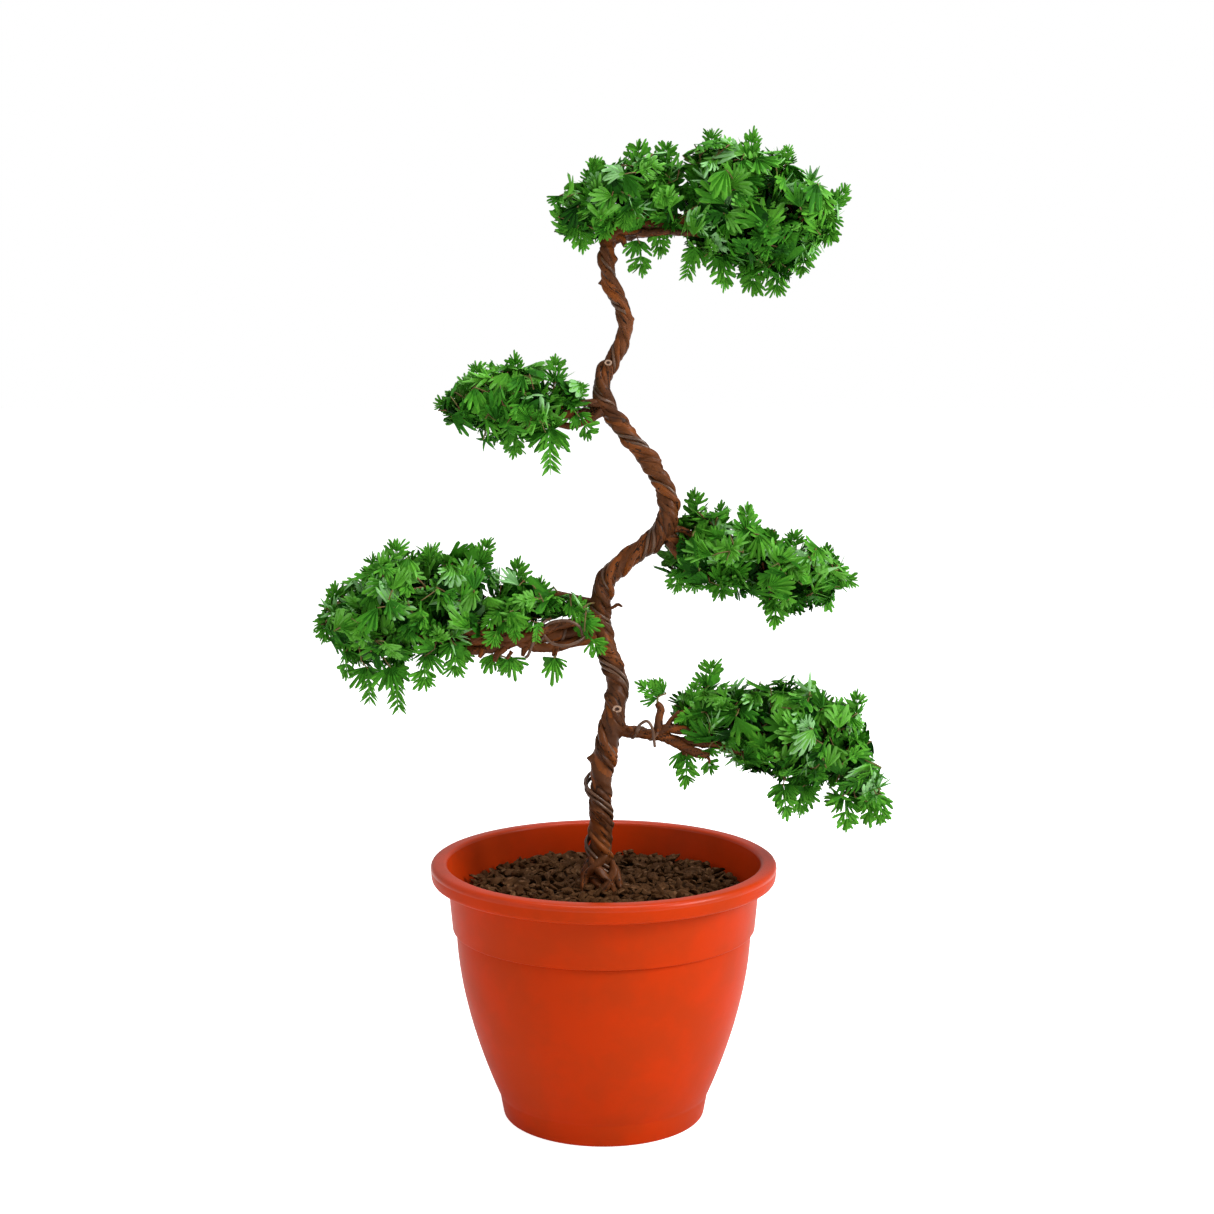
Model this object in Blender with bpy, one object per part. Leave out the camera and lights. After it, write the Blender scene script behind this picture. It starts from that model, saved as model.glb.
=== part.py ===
"""A wired juniper bonsai in a plain round pot, modelled in metres with +Z up.

The origin is the centre of the pot's flat underside. The trunk climbs in S-bends from a flat cut at
soil level, five boughs leave it, training wire is wound round them, and each mass of foliage is one
solid of three-sided twigs and toothed sprays that grow by one seeded rule from its own stem.
"""

import math
import random
from collections import namedtuple

import bmesh
import bpy
import numpy as np
from mathutils import Vector
from mathutils.geometry import delaunay_2d_cdt

MM = 0.001
GAP = 0.3 * MM  # between pieces that touch on the real plant
SHARP_EDGE = 40  # degrees between two faces whose shared edge stays sharp

# Pot, turned about the Z axis
POT_SIDES = 32
POT_HEIGHT = 150 * MM
RIM_RADIUS = 100 * MM
RIM_INNER_RADIUS = 91 * MM
LIP_DEPTH = 10.4 * MM
LIP_ROUND = 3.2 * MM
LIP_LEAN = 0.6 * MM  # how far the lip's outer side leans in towards its top
BAND_TOP_RADIUS = 90 * MM
BAND_FOOT_RADIUS = 87.4 * MM
BAND_FOOT_HEIGHT = 110.8 * MM
BAND_STEP_RISE = 0.6 * MM  # of the narrow ledge under the band
BODY_TOP_RADIUS = 85.2 * MM
BODY_FOOT_RADIUS = 61.8 * MM
BODY_FOOT_HEIGHT = 15 * MM
BODY_SWELL = 1.75
BODY_STEPS = 4
FOOT_TOP_RADIUS = 60.8 * MM
FOOT_TOP_HEIGHT = 13 * MM
FOOT_RADIUS = 58.4 * MM
FOOT_ROUND = 1.5 * MM
WALL = 3.2 * MM
FLOOR = 4.5 * MM
MOUTH_DEPTH = 14 * MM  # how far the mouth narrows below the lip
MOUTH_INSET = 0.6 * MM  # of the wall's inside below the lip

# Soil, mounded a little towards the trunk and lumpy
SOIL_EDGE_HEIGHT = 131 * MM
SOIL_TOP_HEIGHT = 134 * MM
SEAT_RADIUS = 22 * MM  # of the level place that the trunk stands on
LUMP_SPACING = 20 * MM  # between the tops of neighbouring lumps
LUMP_HEIGHT = 2.8 * MM
LUMP_SHARE = (0.7, 1.1)  # of that height, in one lump
LUMP_TOP = 2 / 3  # of it that stands over the mean level, with twice as many hollows as tops
LUMP_STRAY = 1.8 * MM  # how far a top or a hollow lies from its place in the even pattern
EDGE_WAVE = 0.9 * MM  # up and down, where the soil meets the wall
EDGE_MARGIN = 7 * MM  # between the edge and the nearest lump
LUMP_SEED = 3
NEARNESS = 0.001 * MM  # of two points that count as one

# Trunk: x, y, z and radius in millimetres, from the cut at the soil to the tip
TRUNK_KNOTS = (
    (-3.5, 0, 134.3, 8.8),
    (-2.6, 0, 146, 7.0),
    (-1.3, -2, 175, 6.4),
    (-1.2, -5, 203, 6.2),
    (4.5, -6, 231, 6.5),
    (7.6, -3, 252, 6.1),
    (2.5, 3, 272, 6.0),
    (-3.0, 6, 292, 6.2),
    (0.5, 5, 313, 6.1),
    (14, 1, 327, 6.0),
    (31, -4, 340, 6.2),
    (36.5, -5, 355, 5.7),
    (29, -1, 374, 5.4),
    (13.5, 4, 395, 5.3),
    (0, 6, 413, 5.3),
    (1, 5, 429, 4.7),
    (10.5, 1, 447, 4.5),
    (10, -3, 463, 4.4),
    (2.5, -4, 482, 4.5),
    (2.3, -1, 500, 4.6),
    (2.5, 2, 513, 3.4),
)
TRUNK_SIDES = 12
TRUNK_STEPS = 2  # rings between knots
LEAST_SIDE = 0.2  # how square a ring's carried side has to stay to its limb
ROOT_LOBES = 5
ROOT_LOBE_DEPTH = 0.16
ROOT_LOBE_HEIGHT = 16 * MM

# Boughs: knots as above, the first of them inside the trunk, which is then cut clear
BOUGH_SIDES = 7
BOUGH_STEPS = 3
BOUGHS = {
    "lower_right_bough": ((6, -6, 228, 3.6), (14, -7, 226.5, 3.2), (28, -8, 225, 2.9), (43, -8, 221, 2.7)),
    "left_bough": ((-2, 5, 284, 4.6), (-12, 3, 282, 4.0), (-32, -2, 279, 3.6), (-62, -6, 279, 3.0)),
    "middle_right_bough": ((32, -4, 341, 3.8), (42, -3, 334, 3.3), (50, 0, 327, 3.0), (58, 4, 322, 2.7)),
    "upper_left_bough": ((1, 6, 411, 3.6), (-8, 6, 408, 3.0), (-18, 5, 406, 2.7), (-30, 3, 406, 2.4)),
    "apex_bough": ((2.4, 0, 503, 3.6), (12, 0, 506, 3.2), (28, 2, 508, 2.9), (46, 3, 513, 2.5)),
}

# Training wire
WIRE_RADIUS = 1.1 * MM
WIRE_SIDES = 4
WIRE_STEPS = 8  # pieces in one turn
WIRE_STANDOFF = 0.7 * MM  # from the bark to the wire's nearest side
STRAND_SPACING = 3.5 * MM  # between the two strands, along the trunk
TRUNK_WINDING = (  # height in millimetres, and turns wound by then
    (137, -0.33),
    (148, 0),
    (185, 1),
    (217, 2),
    (226, 2.25),
    (258, 3),
    (283, 3.75),
    (338, 6.25),
    (362, 7),
    (408, 8.75),
    (437, 10),
    (464, 11),
    (484, 12),
    (498, 12.5),
)
FRONT = -0.25  # in turns from +X: turn 0 of the winding crosses the side that faces -Y
BOUGH_WINDING = {  # turns wound, and the share of the bough's length where they start and end
    "lower_right_bough": (2.5, 0.34, 0.93),
    "left_bough": (4.5, 0.22, 0.95),
    "middle_right_bough": (2.0, 0.42, 0.93),
    "upper_left_bough": (2.5, 0.36, 0.93),
}
WIRE_ROOM = 2 * WIRE_RADIUS + 1.3 * MM  # that foliage leaves round a wired limb

# Foliage
SPRAY_SIZE = 16 * MM
SPRAY_THICKNESS = 0.8 * MM
TOOTH_ANGLES = (105, 70, 36, 0, -36, -70, -105)
TOOTH_LENGTHS = (0.58, 0.8, 0.95, 1.0, 0.95, 0.8, 0.58)
TOOTH_LENGTH_RANGE = (0.88, 1.08)
TOOTH_TURN = 6  # degrees that a tooth may turn either way
TOOTH_LIFT = (-0.06, 0.24)  # out of the blade's plane, as a share of the tooth's reach
NOTCH_LENGTH = 0.42
SPRAY_MIDDLE = 0.3  # where a spray is thickest
SPRAY_CENTRE = 0.45  # of its size, from its twig's end
SPRAY_SIZE_RANGE = (0.9, 1.12)
SPRAY_SHRINK = 0.07  # for each try that found no room
SPRAY_TRIES = 5
SPRAY_SPACING = 16 * MM
HEADING_WEIGHT = 0.5  # of the twig's own heading in the spray's
OUTWARD_WEIGHT = 0.8  # of the way out of the lobe
SPRIG_WEIGHT = 2.0  # of the way out, in a sprig
WANDER_WEIGHT = 0.3
FACE_UP = Vector((0, 0, 0.5))  # leans the blades' faces to the sky
EDGE_ON = 0.8  # a blade isn't laid more than this across its own twig
TWIG_ROOT_RADIUS = 1.1 * MM
TWIG_TIP_RADIUS = 0.8 * MM
ROOT_SPACING = 4 * MM  # along a limb, between the twigs that leave it
SHORT_TWIG = 20 * MM  # a twig shorter than this is straight
LEAST_TWIG = 4 * MM
TWIG_BOW = 0.1  # along the bearer, as a share of the twig's length
TWIG_RISE = (-0.02, 0.1)
TWIG_CHECKS = 4  # places tested on each straight piece of a twig
ROOT_COST = 1.3  # of a twig's length, less the next where it leans right forwards
LEAN_SAVING = 0.55
STEM_STEPS = 3
STEM_SIDES = 6
STEM_FOOT = 0.92  # a stem's radius at its foot, as a share of its bearer's
STEM_FOOT_LENGTH = 5 * MM
TWIG_CLEARANCE = 0.8 * MM
REACH = 1.12  # how far a tip may pass a lobe's skin
SKIN_DEPTH = (0.55, 1.0)  # how far under a lobe's skin twigs end, in spray sizes
LEAST_HALF = 3 * MM  # a lobe's half size left for the ends of twigs
LEAST_ENDS = 3  # in a lobe
BURIED = 0.6  # a twig doesn't end this deep in another lobe
GOLDEN_ANGLE = math.pi * (3 - math.sqrt(5))

Mass = namedtuple("Mass", "name bearer stem lobes sprigs sprays seed space")
# The stem goes on from its bearer's tip, or with no bearer starts inside the trunk, which is then cut
# clear. Its knots are x, y, z and radius, lobes are centre and half sizes, sprigs are single far tips
# and space is the lowest and highest x that the mass keeps to, all in millimetres.
MASSES = (
    Mass(
        "top_left_foliage",
        "trunk",
        ((0, 2, 521, 2.2), (-7, 0, 526, 1.7), (-14, -2, 528, 1.3)),
        (((-5, 0, 522), (25, 29, 27)), ((22, 0, 531), (27, 34, 27))),
        ((-29, 0, 529), (-21, 2, 499), (12, -4, 553)),
        27,
        11,
        (-40, 42),
    ),
    Mass(
        "top_right_foliage",
        "apex_bough",
        ((70, 2, 520, 1.9), (95, -2, 522, 1.4), (112, -2, 520, 1.1)),
        (((62, 0, 528), (24, 36, 32)), ((86, 0, 520), (30, 38, 38)), ((110, 0, 517), (28, 31, 32))),
        ((138, 0, 532), (57, 0, 475), (95, 0, 471), (76, -4, 562), (136, 2, 500)),
        42,
        12,
        (43, 150),
    ),
    Mass(
        "upper_left_foliage",
        "upper_left_bough",
        ((-52, 0, 409, 1.7), (-75, -2, 410, 1.2)),
        (
            ((-70, 0, 411), (26, 26, 23)),
            ((-46, 0, 412), (26, 30, 30)),
            ((-20, 6, 413), (18, 22, 20)),
            ((6, 22, 413), (17, 15, 17)),
        ),
        ((-96, 0, 409), (-31, -6, 378), (-27, 0, 442), (17, 12, 408)),
        32,
        13,
        (-100, 24),
    ),
    Mass(
        "middle_right_foliage",
        "middle_right_bough",
        ((84, 3, 314, 1.8), (106, 0, 311, 1.5), (124, -2, 307, 1.1)),
        (((55, 3, 335), (26, 27, 27)), ((84, 0, 325), (27, 32, 30)), ((116, 0, 313), (32, 29, 28))),
        ((26, -2, 322), (146, 0, 310), (97, 0, 284), (50, 2, 363)),
        36,
        25,
        (24, 155),
    ),
    Mass(
        "left_outer_foliage",
        "left_bough",
        ((-90, -5, 279, 2.0), (-118, -2, 283, 1.6), (-142, 0, 286, 1.2)),
        (((-140, 0, 287), (28, 31, 34)), ((-112, 0, 288), (32, 42, 46)), ((-84, 0, 296), (26, 38, 38))),
        ((-168, 0, 283), (-118, 0, 240), (-119, -3, 336), (-68, 0, 336), (-86, -6, 254)),
        38,
        16,
        (-175, -66),
    ),
    Mass(
        "left_inner_foliage",
        None,
        ((-3, 5.5, 304, 2.0), (-12, 5, 305, 1.8), (-26, 3, 307, 1.6), (-46, 0, 306, 1.2)),
        (((-50, 0, 295), (24, 34, 36)), ((-24, 0, 288), (18, 24, 26))),
        ((-55, 0, 332), (-60, 2, 258), (-30, -2, 258)),
        30,
        17,
        (-64, -6),
    ),
    Mass(
        "lower_right_foliage",
        "lower_right_bough",
        ((70, -6, 221, 2.1), (98, -2, 219, 1.7), (125, 0, 208, 1.3), (144, 0, 198, 1.1)),
        (
            ((62, -2, 234), (22, 25, 24)),
            ((92, 0, 226), (27, 34, 31)),
            ((122, 0, 215), (28, 36, 39)),
            ((147, 0, 205), (23, 28, 35)),
        ),
        ((25, -8, 254), (59, -3, 268), (58, -6, 192), (171, 0, 171), (134, 0, 170), (98, 0, 176)),
        40,
        19,
        (18, 180),
    ),
)


def clear_scene():
    for item in list(bpy.data.objects):
        bpy.data.objects.remove(item, do_unlink=True)


def finish(name, color, roughness, metallic=0.0):
    """A plain Principled BSDF material."""
    material = bpy.data.materials.new(name)
    material.use_nodes = True
    shader = material.node_tree.nodes["Principled BSDF"]
    shader.inputs["Base Color"].default_value = (*color, 1)
    shader.inputs["Roughness"].default_value = roughness
    shader.inputs["Metallic"].default_value = metallic
    return material


def make_object(name, points, faces, material, smooth=True):
    """One object from points in metres and faces, its normals turned outwards."""
    mesh = bpy.data.meshes.new(name)
    shape = bmesh.new()
    corners = [shape.verts.new(point) for point in points]
    for face in faces:
        shape.faces.new([corners[index] for index in face])
    bmesh.ops.recalc_face_normals(shape, faces=shape.faces)
    if shape.calc_volume(signed=True) < 0:
        bmesh.ops.reverse_faces(shape, faces=shape.faces)
    shape.to_mesh(mesh)
    shape.free()
    if smooth:
        mesh.shade_smooth()
        mesh.set_sharp_from_angle(angle=math.radians(SHARP_EDGE))
    mesh.materials.append(material)
    made = bpy.data.objects.new(name, mesh)
    bpy.context.scene.collection.objects.link(made)
    return made


def remove_object(item):
    mesh = item.data
    bpy.data.objects.remove(item, do_unlink=True)
    bpy.data.meshes.remove(mesh)


def ring_point(side, radius, height):
    angle = math.tau * side / POT_SIDES
    return Vector((radius * math.cos(angle), radius * math.sin(angle), height))


def turned(profile):
    """Points and faces turned about Z from (radius, height) points that start on the axis.

    The last ring is left open.
    """
    points = [Vector((0, 0, profile[0][1]))]
    for radius, height in profile[1:]:
        points += [ring_point(side, radius, height) for side in range(POT_SIDES)]
    faces = []
    for side in range(POT_SIDES):
        beside = (side + 1) % POT_SIDES
        faces.append((0, 1 + side, 1 + beside))
        for low in range(1, len(points) - POT_SIDES, POT_SIDES):
            high = low + POT_SIDES
            faces.append((low + side, high + side, high + beside, low + beside))
    return points, faces


def body_radius(height):
    """Outer radius of the pot's body, which swells up to the band."""
    fall = (BAND_FOOT_HEIGHT - height) / (BAND_FOOT_HEIGHT - BODY_FOOT_HEIGHT)
    return BODY_TOP_RADIUS - (BODY_TOP_RADIUS - BODY_FOOT_RADIUS) * fall**BODY_SWELL


def body_outline(inset, lowest):
    """Points up the pot's body from a height, moved in by an inset."""
    span = BAND_FOOT_HEIGHT - lowest
    heights = [lowest + span * step / BODY_STEPS for step in range(BODY_STEPS + 1)]
    return [(body_radius(height) - inset, height) for height in heights]


def lip_outline():
    """Points over the rounded lip, from its outer lower edge to the mouth."""
    underside = POT_HEIGHT - LIP_DEPTH
    return [
        (RIM_RADIUS - LIP_ROUND, underside),
        (RIM_RADIUS, underside + LIP_ROUND),
        (RIM_RADIUS - LIP_LEAN, POT_HEIGHT - LIP_ROUND),
        (RIM_RADIUS - LIP_ROUND, POT_HEIGHT),
        (RIM_INNER_RADIUS + LIP_ROUND, POT_HEIGHT),
        (RIM_INNER_RADIUS, POT_HEIGHT - LIP_ROUND),
    ]


def mouth_point():
    """Where the slope below the lip meets the pot's inner wall."""
    return (BAND_TOP_RADIUS - WALL - MOUTH_INSET, POT_HEIGHT - MOUTH_DEPTH)


def make_pot(material):
    profile = [(0, 0), (FOOT_RADIUS - FOOT_ROUND, 0), (FOOT_RADIUS, FOOT_ROUND)]
    profile.append((FOOT_TOP_RADIUS, FOOT_TOP_HEIGHT))
    profile += body_outline(0, BODY_FOOT_HEIGHT)
    profile.append((BAND_FOOT_RADIUS, BAND_FOOT_HEIGHT + BAND_STEP_RISE))
    profile.append((BAND_TOP_RADIUS, POT_HEIGHT - LIP_DEPTH))
    profile += lip_outline()
    profile.append(mouth_point())
    profile += reversed(body_outline(WALL, BODY_FOOT_HEIGHT))
    profile.append((FOOT_TOP_RADIUS - WALL, FLOOR))
    points, faces = turned(profile)
    faces.append(tuple(range(len(points) - POT_SIDES, len(points))))
    return make_object("pot", points, faces, material)


def soil_radius(height):
    """Radius of the soil's side above the foot of the pot's band, 0.3 mm clear of the wall."""
    wall_foot = BODY_TOP_RADIUS - WALL
    wall_head, head_height = mouth_point()
    share = (height - BAND_FOOT_HEIGHT) / (head_height - BAND_FOOT_HEIGHT)
    return wall_foot + (wall_head - wall_foot) * share - GAP


def soil_lumps(draw):
    """Tops and hollows of the soil in a strayed triangular pattern, level where the trunk stands."""
    edge = soil_radius(SOIL_EDGE_HEIGHT)
    seat = Vector(TRUNK_KNOTS[0][:2]) * MM
    step = LUMP_SPACING / math.sqrt(3)
    row_step = step * math.sqrt(3) / 2
    reach = math.ceil(2 * edge / step)
    found = []
    for row in range(-reach, reach + 1):
        for column in range(-reach, reach + 1):
            place = Vector(((column + row / 2) * step, row * row_step))
            if place.length > edge - EDGE_MARGIN:
                continue
            fall = (SOIL_TOP_HEIGHT - SOIL_EDGE_HEIGHT) * place.length / edge
            if (place - seat).length < SEAT_RADIUS:
                found.append(Vector((*place, SOIL_TOP_HEIGHT)))
                continue
            place += Vector((draw.uniform(-1, 1), draw.uniform(-1, 1))) * LUMP_STRAY
            rise = LUMP_TOP if (column - row) % 3 == 0 else LUMP_TOP - 1
            lump = LUMP_HEIGHT * draw.uniform(*LUMP_SHARE) * rise
            found.append(Vector((*place, SOIL_TOP_HEIGHT - fall + lump)))
    return found


def make_soil(material):
    """The filling, 0.3 mm clear of the pot's wall and floor."""
    draw = random.Random(LUMP_SEED)
    profile = [(0, FLOOR + GAP), (FOOT_TOP_RADIUS - WALL - GAP, FLOOR + GAP)]
    profile += body_outline(WALL + GAP, BODY_FOOT_HEIGHT)
    profile.append((soil_radius(SOIL_EDGE_HEIGHT), SOIL_EDGE_HEIGHT))
    points, faces = turned(profile)
    surface = len(points) - POT_SIDES
    for side in range(POT_SIDES):
        height = SOIL_EDGE_HEIGHT + draw.uniform(-EDGE_WAVE, EDGE_WAVE)
        points[surface + side] = ring_point(side, soil_radius(height), height)
    points += soil_lumps(draw)
    flat = [point.xy for point in points[surface:]]
    _, _, triangles, sources, _, _ = delaunay_2d_cdt(flat, [], [], 0, NEARNESS)
    faces += [tuple(surface + sources[corner][0] for corner in triangle) for triangle in triangles]
    return make_object("soil", points, faces, material)


def smooth_path(knots, steps):
    """(place, radius) along a Catmull-Rom curve through knots given in millimetres."""
    marks = [np.array(knot, float) * MM for knot in knots]
    marks = [2 * marks[0] - marks[1], *marks, 2 * marks[-1] - marks[-2]]
    path = []
    for before, here, there, after in zip(marks, marks[1:], marks[2:], marks[3:]):
        for step in range(steps):
            t = step / steps
            curve = 2 * here + (there - before) * t
            curve = curve + (2 * before - 5 * here + 4 * there - after) * t**2
            curve = curve + (3 * here - before - 3 * there + after) * t**3
            path.append(curve / 2)
    path.append(marks[-2])
    return [(Vector(mark[:3]), float(mark[3])) for mark in path]


def frames_along(path):
    """(side, depth) unit vectors across each point of a path, carried along it without twist."""
    frames = []
    side = Vector((1, 0, 0))
    for index in range(len(path)):
        ahead = path[min(index + 1, len(path) - 1)][0]
        behind = path[max(index - 1, 0)][0]
        along = (ahead - behind).normalized()
        side = side - along * side.dot(along)
        if side.length < LEAST_SIDE:
            side = along.orthogonal()
        side.normalize()
        frames.append((side.copy(), along.cross(side)))
    return frames


def tube(path, sides, shape=None):
    """Points and faces of a limb swept along a path, closed by flat ends.

    shape(index, angle) scales the radius of a ring's corner.
    """
    points = []
    for index, ((place, radius), (side, depth)) in enumerate(zip(path, frames_along(path))):
        for corner in range(sides):
            angle = math.tau * corner / sides
            reach = radius * (shape(index, angle) if shape else 1)
            points.append(place + (side * math.cos(angle) + depth * math.sin(angle)) * reach)
    faces = [tuple(range(sides)), tuple(range(len(points) - sides, len(points)))]
    for ring in range(len(path) - 1):
        for corner in range(sides):
            beside = (corner + 1) % sides
            low = ring * sides
            faces.append((low + corner, low + beside, low + sides + beside, low + sides + corner))
    return points, faces


def root_spread(place):
    """How far the root lobes stand out at a place along the trunk, as a share of its radius."""
    rise = place.z - TRUNK_KNOTS[0][2] * MM
    return ROOT_LOBE_DEPTH * max(0.0, 1 - rise / ROOT_LOBE_HEIGHT)


def make_trunk(material, name="trunk", extra=0.0):
    """The trunk, its foot spread in low lobes where the roots leave it, or one that is larger all round."""
    path = [(place, radius + extra) for place, radius in smooth_path(TRUNK_KNOTS, TRUNK_STEPS)]

    def root_lobes(index, angle):
        return 1 + root_spread(path[index][0]) * math.cos(ROOT_LOBES * angle)

    points, faces = tube(path, TRUNK_SIDES, root_lobes)
    for corner in range(TRUNK_SIDES):
        points[corner].z = path[0][0].z
    return make_object(name, points, faces, material)


def apply_modifiers(item):
    """The object's mesh as its modifiers leave it, put in place of its own."""
    shapes = bpy.context.evaluated_depsgraph_get()
    plain = item.data
    item.data = bpy.data.meshes.new_from_object(item.evaluated_get(shapes))
    item.modifiers.clear()
    bpy.data.meshes.remove(plain)
    item.data.name = item.name


def keep_largest_shell(item):
    """Drops loose scraps, and fills any hollow that is sealed, by keeping one shell of the mesh."""
    shape = bmesh.new()
    shape.from_mesh(item.data)
    unseen = set(shape.faces)
    shells = []
    while unseen:
        waiting = [unseen.pop()]
        shell = []
        while waiting:
            face = waiting.pop()
            shell.append(face)
            for edge in face.edges:
                found = [near for near in edge.link_faces if near in unseen]
                unseen.difference_update(found)
                waiting += found
        shells.append(shell)
    shells.sort(key=lambda shell: sum(face.calc_area() for face in shell))
    spare = [face for shell in shells[:-1] for face in shell]
    bmesh.ops.delete(shape, geom=spare, context="FACES")
    shape.to_mesh(item.data)
    shape.free()


def cut_clear(item, cutter):
    cut = item.modifiers.new("clear of the trunk", "BOOLEAN")
    cut.operation = "DIFFERENCE"
    cut.object = cutter


def make_bough(name, material, cutter):
    """A tapering limb whose foot is cut 0.3 mm clear of the trunk."""
    points, faces = tube(smooth_path(BOUGHS[name], BOUGH_STEPS), BOUGH_SIDES)
    bough = make_object(name, points, faces, material)
    cut_clear(bough, cutter)
    apply_modifiers(bough)
    keep_largest_shell(bough)
    return bough


def winding(path, turns_at, first, last):
    """A wire's path round a limb: turns_at gives the turns wound at a share of the limb's points."""
    frames = frames_along(path)
    turns = turns_at(last) - turns_at(first)
    pieces = round(abs(turns) * WIRE_STEPS)
    wire = []
    for piece in range(pieces + 1):
        share = first + (last - first) * piece / pieces
        whole = min(int(share * (len(path) - 1)), len(path) - 2)
        part = share * (len(path) - 1) - whole
        place = path[whole][0].lerp(path[whole + 1][0], part)
        radius = path[whole][1] * (1 - part) + path[whole + 1][1] * part
        side = frames[whole][0].lerp(frames[whole + 1][0], part).normalized()
        depth = frames[whole][1].lerp(frames[whole + 1][1], part).normalized()
        angle = math.tau * (FRONT - turns_at(share))
        reach = (radius + WIRE_STANDOFF) / math.cos(math.pi / WIRE_STEPS) + WIRE_RADIUS
        wire.append((place + (side * math.cos(angle) + depth * math.sin(angle)) * reach, WIRE_RADIUS))
    return wire


def make_trunk_wire(name, material, lift):
    """One strand, wound clockwise seen from above, that starts a lift higher than the winding says."""
    bark = smooth_path(TRUNK_KNOTS, WIRE_STEPS)
    path = [(place, radius * (1 + root_spread(place))) for place, radius in bark]
    heights = [place.z for place, _ in path]
    marks = [height * MM + lift for height, _ in TRUNK_WINDING]
    turns = [count for _, count in TRUNK_WINDING]

    def turns_at(share):
        height = np.interp(share * (len(path) - 1), range(len(path)), heights)
        return float(np.interp(height, marks, turns))

    def share_at(height):
        return float(np.interp(height, heights, range(len(path)))) / (len(path) - 1)

    wire = winding(path, turns_at, share_at(marks[0]), share_at(marks[-1]))
    points, faces = tube(wire, WIRE_SIDES)
    return make_object(name, points, faces, material)


def make_bough_wire(bough, material):
    turns, first, last = BOUGH_WINDING[bough]
    path = smooth_path(BOUGHS[bough], WIRE_STEPS)
    wire = winding(path, lambda share: turns * (share - first) / (last - first), first, last)
    points, faces = tube(wire, WIRE_SIDES)
    return make_object(bough + "_wire", points, faces, material)


def limb_room():
    """Places along every limb and the room that foliage leaves round each."""
    paths = [(smooth_path(TRUNK_KNOTS, WIRE_STEPS), WIRE_ROOM)]
    for name, knots in BOUGHS.items():
        room = WIRE_ROOM if name in BOUGH_WINDING else TWIG_CLEARANCE
        paths.append((smooth_path(knots, 2 * WIRE_STEPS), room))
    places = np.array([place for path, _ in paths for place, _ in path])
    rooms = np.array([radius + room for path, room in paths for _, radius in path])
    return places, rooms


def lobe_share(point, lobe):
    """How far out in a lobe a point lies: 0 at its centre, 1 on its skin."""
    centre, half = lobe
    return math.sqrt(sum(((p / MM - c) / h) ** 2 for p, c, h in zip(point, centre, half)))


def fits(points, mass, limbs, clearance=0.0):
    """Whether points keep to the mass's own space and clear of every limb."""
    places, rooms = limbs
    lowest, highest = mass.space
    for point in points:
        if not lowest * MM < point.x < highest * MM:
            return False
        if (np.linalg.norm(places - np.array(point), axis=1) - rooms).min() < clearance:
            return False
    return True


def in_lobes(point, mass):
    return min(lobe_share(point, lobe) for lobe in mass.lobes) <= REACH


def spray_places(mass, draw):
    """(place, outward) pairs spread by the golden angle under the skin of the mass's lobes."""
    faces = [x * y + y * z + z * x for _, (x, y, z) in mass.lobes]
    found = []
    for lobe, face in zip(mass.lobes, faces):
        centre, half = (Vector(values) * MM for values in lobe)
        count = max(LEAST_ENDS, round(mass.sprays * face / sum(faces)))
        start = draw.uniform(0, math.tau)
        for number in range(count):
            rise = 1 - 2 * (number + 0.5) / count
            flat = math.sqrt(1 - rise * rise)
            turn = start + GOLDEN_ANGLE * number
            ray = Vector((flat * math.cos(turn), flat * math.sin(turn), rise))
            depth = SPRAY_SIZE * draw.uniform(*SKIN_DEPTH)
            place = centre + Vector(r * max(h - depth, LEAST_HALF) for r, h in zip(ray, half))
            others = [other for other in mass.lobes if other is not lobe]
            if any(lobe_share(place, other) < BURIED for other in others):
                continue
            found.append((place, Vector(r / h for r, h in zip(ray, half)).normalized()))
    return found


def tooth_outline(draw):
    """(forward, sideways) points of a spray's teeth, which stand for its needles, for a size of 1."""
    outline = []
    for number, (angle, length) in enumerate(zip(TOOTH_ANGLES, TOOTH_LENGTHS)):
        if number:
            between = math.radians((angle + TOOTH_ANGLES[number - 1]) / 2)
            outline.append((NOTCH_LENGTH * math.cos(between), NOTCH_LENGTH * math.sin(between)))
        reach = length * draw.uniform(*TOOTH_LENGTH_RANGE)
        aim = math.radians(angle + draw.uniform(-TOOTH_TURN, TOOTH_TURN))
        outline.append((reach * math.cos(aim), reach * math.sin(aim)))
    return outline


def sprayed_twig(twig, along, across, size, draw):
    """One closed shape: a three-sided twig whose end opens into a toothed blade."""
    over = across.cross(along)
    points = []
    for index, (place, radius) in enumerate(twig):
        heading = (twig[min(index + 1, len(twig) - 1)][0] - twig[max(index - 1, 0)][0]).normalized()
        side = (across - heading * across.dot(heading)).normalized()
        below = heading.cross(side)
        points += [place + side * radius, place - side * radius, place + below * radius]
    faces = [(0, 1, 2)]
    end = len(points) - 3
    for low in range(0, end, 3):
        faces += [(low + a, low + b, low + 3 + b, low + 3 + a) for a, b in ((0, 1), (1, 2), (2, 0))]
    place = twig[-1][0]
    for forward, sideways in tooth_outline(draw):
        lift = draw.uniform(*TOOTH_LIFT) * math.hypot(forward, sideways)
        points.append(place + (along * forward + across * sideways + over * lift) * size)
    rim = [end, *range(end + 3, len(points)), end + 1]
    middle = place + along * (SPRAY_MIDDLE * size)
    points += [middle + over * SPRAY_THICKNESS, middle - over * SPRAY_THICKNESS]
    top, bottom = len(points) - 2, len(points) - 1
    for here, there in zip(rim, rim[1:]):
        faces += [(here, there, top), (there, here, bottom)]
    faces += [(end + 1, end, top), (end + 2, end + 1, bottom), (end, end + 2, bottom)]
    return points, faces


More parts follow.
